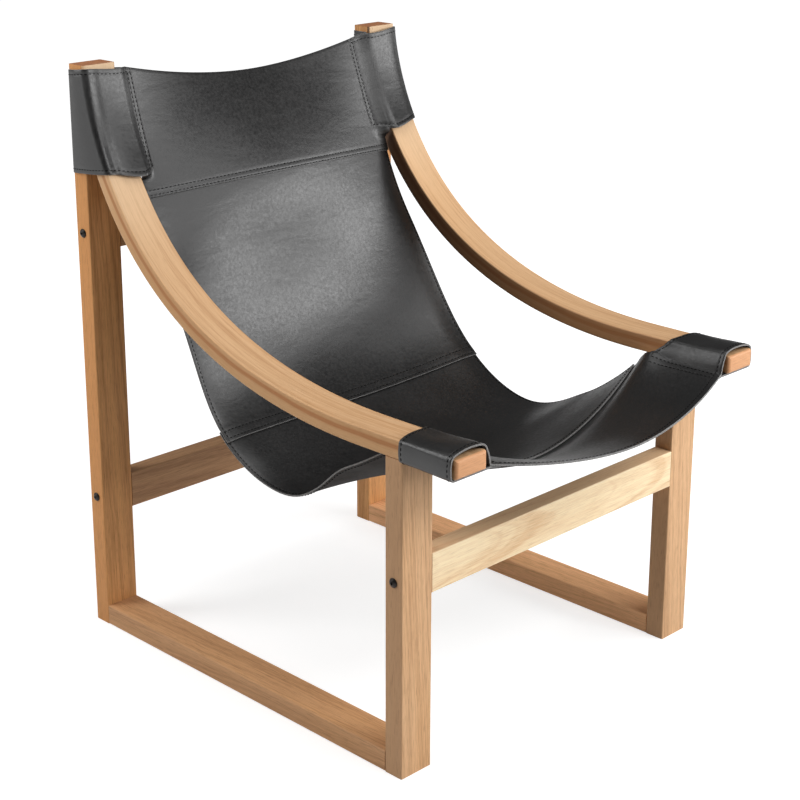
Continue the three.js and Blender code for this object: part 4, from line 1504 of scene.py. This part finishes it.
def arm_mesh(name, side, sweep):
    """The bent arm as a swept section whose front end is rounded over"""
    timber = sizes("timber")
    half = np.array([(OUTER - INNER) / 2, timber.arm_thickness / 2])
    middle = np.array([0, half[1]])
    ring = arm_section()
    points, grains = [], []

    def section(inset, place):
        """One ring of the arm at a place along it, drawn in by inset"""
        shape = middle + (ring - middle) * (1 - inset / half)
        k = np.interp(place, sweep.length, np.arange(len(sweep.length)))
        low = int(min(k, len(sweep.under) - 2))
        part = k - low
        under = sweep.under[low] * (1 - part) + sweep.under[low + 1] * part
        out = sweep.out[low] * (1 - part) + sweep.out[low + 1] * part
        out /= np.linalg.norm(out)
        for x, t in shape:
            y = min(under[0] + out[0] * t, POST_FRONT - ARM_GAP)
            points.append((side * MEMBER_MIDDLE + x, y, under[1] + out[1] * t))
            grains.append((x, t, place))

    rounding = timber.arm_end
    for turn in np.linspace(0, math.pi / 2, ARM_END_STEPS + 1):
        section(rounding * (1 - math.sin(turn)), rounding * (1 - math.cos(turn)))
    for place in np.linspace(rounding, sweep.length[-1], ARM_RUN_STEPS + 1)[1:]:
        section(0.0, place)
    mesh = smooth_mesh(name, points, tube_faces(0, len(points) // len(ring), len(ring)))
    grain = mesh.attributes.new("fibre_place", "FLOAT_VECTOR", "POINT")
    grain.data.foreach_set("vector", np.array(grains, np.float32).ravel())
    mesh.set_sharp_from_angle(angle=math.radians(SHARP_FROM))
    return mesh


# Place of the darker stripe along the arms' sides, as a share of their thickness, and how far it sways
STRIPE = 0.62
STRIPE_SWAY = 12 * MM


def fibre_place(shader):
    """Place in the bent arm: across it, up through its thickness and along its run"""
    return shader.attribute("fibre_place")


def arm_edge(shader):
    """Distance of the place from the arm's nearest long edge"""
    half = (OUTER - INNER) / 2
    thick = sizes("timber").arm_thickness
    x, t = shader.split(fibre_place(shader))[:2]
    return (half - x.abs()).most(thick / 2 - (t - thick / 2).abs())


def arm_marks(side):
    """The arm's swept top, its redder sides with a dark stripe, its inner side with painted shade and its
    front end
    """

    def marks(shader):
        timber = sizes("timber")
        half = (OUTER - INNER) / 2
        x, t, along = shader.split(fibre_place(shader))
        sway = (shader.noise(shader.join(0.0, 0.0, along), 4.0) - 0.5) * STRIPE_SWAY
        band = 1 - (t + sway - timber.arm_thickness * STRIPE).abs().step(1.5 * MM, 5 * MM)
        sides = x.abs().step(half - 3 * MM, half - 1 * MM)
        inside = (x * -side).step(half - 2 * MM, half - 0.5 * MM)
        front = 1 - along.step(2 * MM, 5 * MM)
        layers = shader.noise(shader.join(x * 40, t * 520, 0.0), 1.0, 3.0, 0.6)
        return [
            (timber.swept, along.step(0.6, 0.92) * 0.6),
            (timber.flush, sides * 0.4),
            (timber.stripe, band * sides * 0.75),
            # Inner side: darker wood, partly painted shade, and painted shade near the posts
            (timber.inner, inside * 0.5),
            (timber.painted_shade, inside * along.step(0.22, 0.68) * 0.8),
            (timber.end, front),
            (timber.inner, front * layers.step(0.42, 0.72) * 0.34),
        ]

    return marks


# Arm: its side and the place of the heart of the tree beside it, in metres
ARMS = {
    "left_arm": (1, (0.24, -0.19, 0.5)),
    "right_arm": (-1, (0.3, -0.12, 2.2)),
}
# Grain of the arms: late wood, streaks and pores
ARM_GRAIN = {"flame": 0.2, "streaks": 1.5, "pores": 0.1}


class CHAIR_OT_arms(bpy.types.Operator):
    """Bends the two arms, with their fibres running along the sweep"""

    bl_idname = "chair.arms"
    bl_label = "Arms"

    def execute(self, context):
        sweep = ArmSweep()
        tone = toned("arm")
        for name, (side, heart) in ARMS.items():
            marks = arm_marks(side)
            wood = oiled_timber("timber_" + name, fibre_place, heart, tone, arm_edge, marks, **ARM_GRAIN)
            piece = placed(name + "_bent", arm_mesh(name, side, sweep), [wood])
            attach(piece, BODY)
            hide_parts(name)
        return {"FINISHED"}


# Dowels: place of the heart of the tree beside them, in metres, and their late wood as a share of the early
PEG_HEART = (0.3, 0.2, 0)
PEG_DARK = 0.8


class CHAIR_OT_fittings(bpy.types.Operator):
    """Finishes the bolts, their cross nuts and the dowels"""

    bl_idname = "chair.fittings"
    bl_label = "Fittings"

    def execute(self, context):
        pale = tuple(sizes("timber").peg)
        dark = tuple(part * PEG_DARK for part in pale)
        finishes = {
            "_bolt": black_steel(),
            "_nut": zinc_steel(),
            "_dowel_": oiled_timber("timber_dowels", along_axis("z"), PEG_HEART, (pale, dark)),
        }
        for word, finish in finishes.items():
            nodes = [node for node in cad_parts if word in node]
            if not nodes:
                raise RuntimeError("The packed frame has no node with " + word)
            for node in nodes:
                dress(node, finish)
        return {"FINISHED"}


# Stage

# Light: its place, the point it is aimed at, and its width and height, all in metres
LIGHTS = {
    "key": ((1.98, -2.13, 1.18), (0, 0.2, 0.6), (3.0, 0.88)),
    "front": ((0.4, -2.6, 3.0), (0, 0, 0.45), (1.6, 1.2)),
    "side": ((-1.6, 1.3, 1.6), (0, 0, 0.45), (0.8, 1.6)),
    "top": ((-0.2, 0.1, 3.2), (0, 0, 0.45), (2.2, 2.2)),
}
# Half the floor's width, how far it lies under the chair, and where its glow changes from near to far
FLOOR_REACH = 40.0
FLOOR_DROP = 0.2 * MM
GLOW_RANGE = (0.7, 2.6)
SENSOR_WIDTH = 36


def area_light(name, place, aim, size, power):
    """A soft rectangular light"""
    lamp = bpy.data.lights.new(name, "AREA")
    lamp.shape = "RECTANGLE"
    lamp.size, lamp.size_y = size
    lamp.energy = power
    light = bpy.data.objects.new(name, lamp)
    bpy.context.scene.collection.objects.link(light)
    light.location = place
    light.rotation_euler = (Vector(aim) - Vector(place)).to_track_quat("-Z", "Y").to_euler()


def floor_material(stage):
    """A pale floor that the camera sees a little lifted, so that it is white apart from the shadow"""
    shader = Shader("studio_floor")
    here = shader.place()
    x, y = shader.split(here)[:2]
    tint = tuple(stage.floor)
    grit = shader.noise(here, 60.0)
    away = ((x * x + y * y) ** 0.5).step(*GLOW_RANGE)
    rays = shader.add("ShaderNodeLightPath").outputs
    seen = Value(shader, rays["Is Camera Ray"]).most(Value(shader, rays["Is Glossy Ray"]))
    seen = seen.most(Value(shader, rays["Is Transmission Ray"]))
    glow = shader.mix(stage.glow_near, stage.glow_far, away)
    return shader.surface({
        "Base Color": shader.mix(tint, tuple(part * 0.985 for part in tint), grit),
        "Roughness": 0.9,
        "Specular IOR Level": 0.0,
        "Emission Color": shader.mix((0, 0, 0), glow, seen),
        "Emission Strength": 1.0,
    })


def room(stage):
    """A dim room that the camera sees as white"""
    shader = Shader("room", bpy.data.worlds)
    dim = shader.add("ShaderNodeBackground", values={"Color": (1, 1, 1), "Strength": stage.world})
    white = shader.add("ShaderNodeBackground", values={"Color": (1, 1, 1), "Strength": 1.0})
    rays = shader.add("ShaderNodeLightPath").outputs
    choice = shader.add("ShaderNodeMixShader", values={
        0: Value(shader, rays["Is Camera Ray"]),
        1: Value(shader, dim.outputs[0]),
        2: Value(shader, white.outputs[0]),
    })
    shader.add("ShaderNodeOutputWorld", values={0: Value(shader, choice.outputs[0])})
    return shader.owner


class CHAIR_OT_stage(bpy.types.Operator):
    """Sets the floor, the studio lights and the camera"""

    bl_idname = "chair.stage"
    bl_label = "Stage"

    def execute(self, context):
        stage = sizes("stage")
        self.set_floor(stage)
        self.set_lights(stage)
        self.set_camera(context, stage)
        context.scene.view_settings.view_transform = "Standard"
        return {"FINISHED"}

    def set_floor(self, stage):
        """Lays a wide pale floor under the chair"""
        mesh = bpy.data.meshes.new("floor")
        corners = [(x * FLOOR_REACH, y * FLOOR_REACH, 0) for x, y in ((-1, -1), (1, -1), (1, 1), (-1, 1))]
        mesh.from_pydata(corners, [], [[0, 1, 2, 3]])
        floor = placed("floor", mesh, [floor_material(stage)])
        floor.location.z = -FLOOR_DROP

    def set_lights(self, stage):
        """Hangs the lights and sets the room's own light"""
        for name, (place, aim, size) in LIGHTS.items():
            area_light(name + "_light", place, aim, size, getattr(stage, name))
        bpy.context.scene.world = room(stage)

    def set_camera(self, context, stage):
        """Sets the camera that was fitted to the photograph"""
        lens = bpy.data.cameras.new("camera")
        lens.lens = stage.lens
        lens.sensor_width = SENSOR_WIDTH
        lens.shift_x = stage.shift_x
        lens.shift_y = stage.shift_y
        camera = bpy.data.objects.new("camera", lens)
        context.scene.collection.objects.link(camera)
        a, e = stage.azimuth, stage.elevation
        back = Vector((math.sin(a) * math.cos(e), -math.cos(a) * math.cos(e), math.sin(e)))
        right = (-back).cross(Vector((0, 0, 1))).normalized()
        up = right.cross(-back)
        turned_right = math.cos(stage.roll) * right + math.sin(stage.roll) * up
        turned_up = math.cos(stage.roll) * up - math.sin(stage.roll) * right
        axes = Matrix((turned_right, turned_up, back)).transposed()
        camera.matrix_world = Matrix.Translation(Vector(stage.place)) @ axes.to_4x4()
        context.scene.camera = camera


class CHAIR_PT_panel(bpy.types.Panel):
    """Lists the steps that dress the chair, and its sizes and colours"""

    bl_idname = "CHAIR_PT_panel"
    bl_label = "Sling Lounge Chair"
    bl_space_type = "VIEW_3D"
    bl_region_type = "UI"
    bl_category = "Chair"

    def draw(self, context):
        for operator in OPERATORS:
            self.layout.operator(operator.bl_idname)
        for name, group in SETTINGS.items():
            box = self.layout.box()
            box.label(text=name.capitalize())
            for item in group.__annotations__:
                box.prop(getattr(context.scene, name), item)


SETTINGS = {
    "timber": TimberSettings,
    "leather": LeatherSettings,
    "sleeve": SleeveSettings,
    "fitting": FittingSettings,
    "stage": StageSettings,
}
OPERATORS = [
    CHAIR_OT_stage,
    CHAIR_OT_timber,
    CHAIR_OT_arms,
    CHAIR_OT_fittings,
    CHAIR_OT_head_band,
    CHAIR_OT_back_panel,
    CHAIR_OT_seat_panel,
    CHAIR_OT_front_band,
]


def register():
    """Adds the classes, and their settings to the scene"""
    for kind in (*SETTINGS.values(), *OPERATORS, CHAIR_PT_panel):
        bpy.utils.register_class(kind)
    for name, group in SETTINGS.items():
        setattr(bpy.types.Scene, name, PointerProperty(type=group))


def unregister():
    """Takes the settings and the classes away again"""
    for name in SETTINGS:
        delattr(bpy.types.Scene, name)
    for kind in reversed((*SETTINGS.values(), *OPERATORS, CHAIR_PT_panel)):
        bpy.utils.unregister_class(kind)


def main():
    """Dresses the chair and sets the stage"""
    register()
    for operator in OPERATORS:
        group, name = operator.bl_idname.split(".")
        getattr(getattr(bpy.ops, group), name)()


if __name__ == "__main__":
    main()
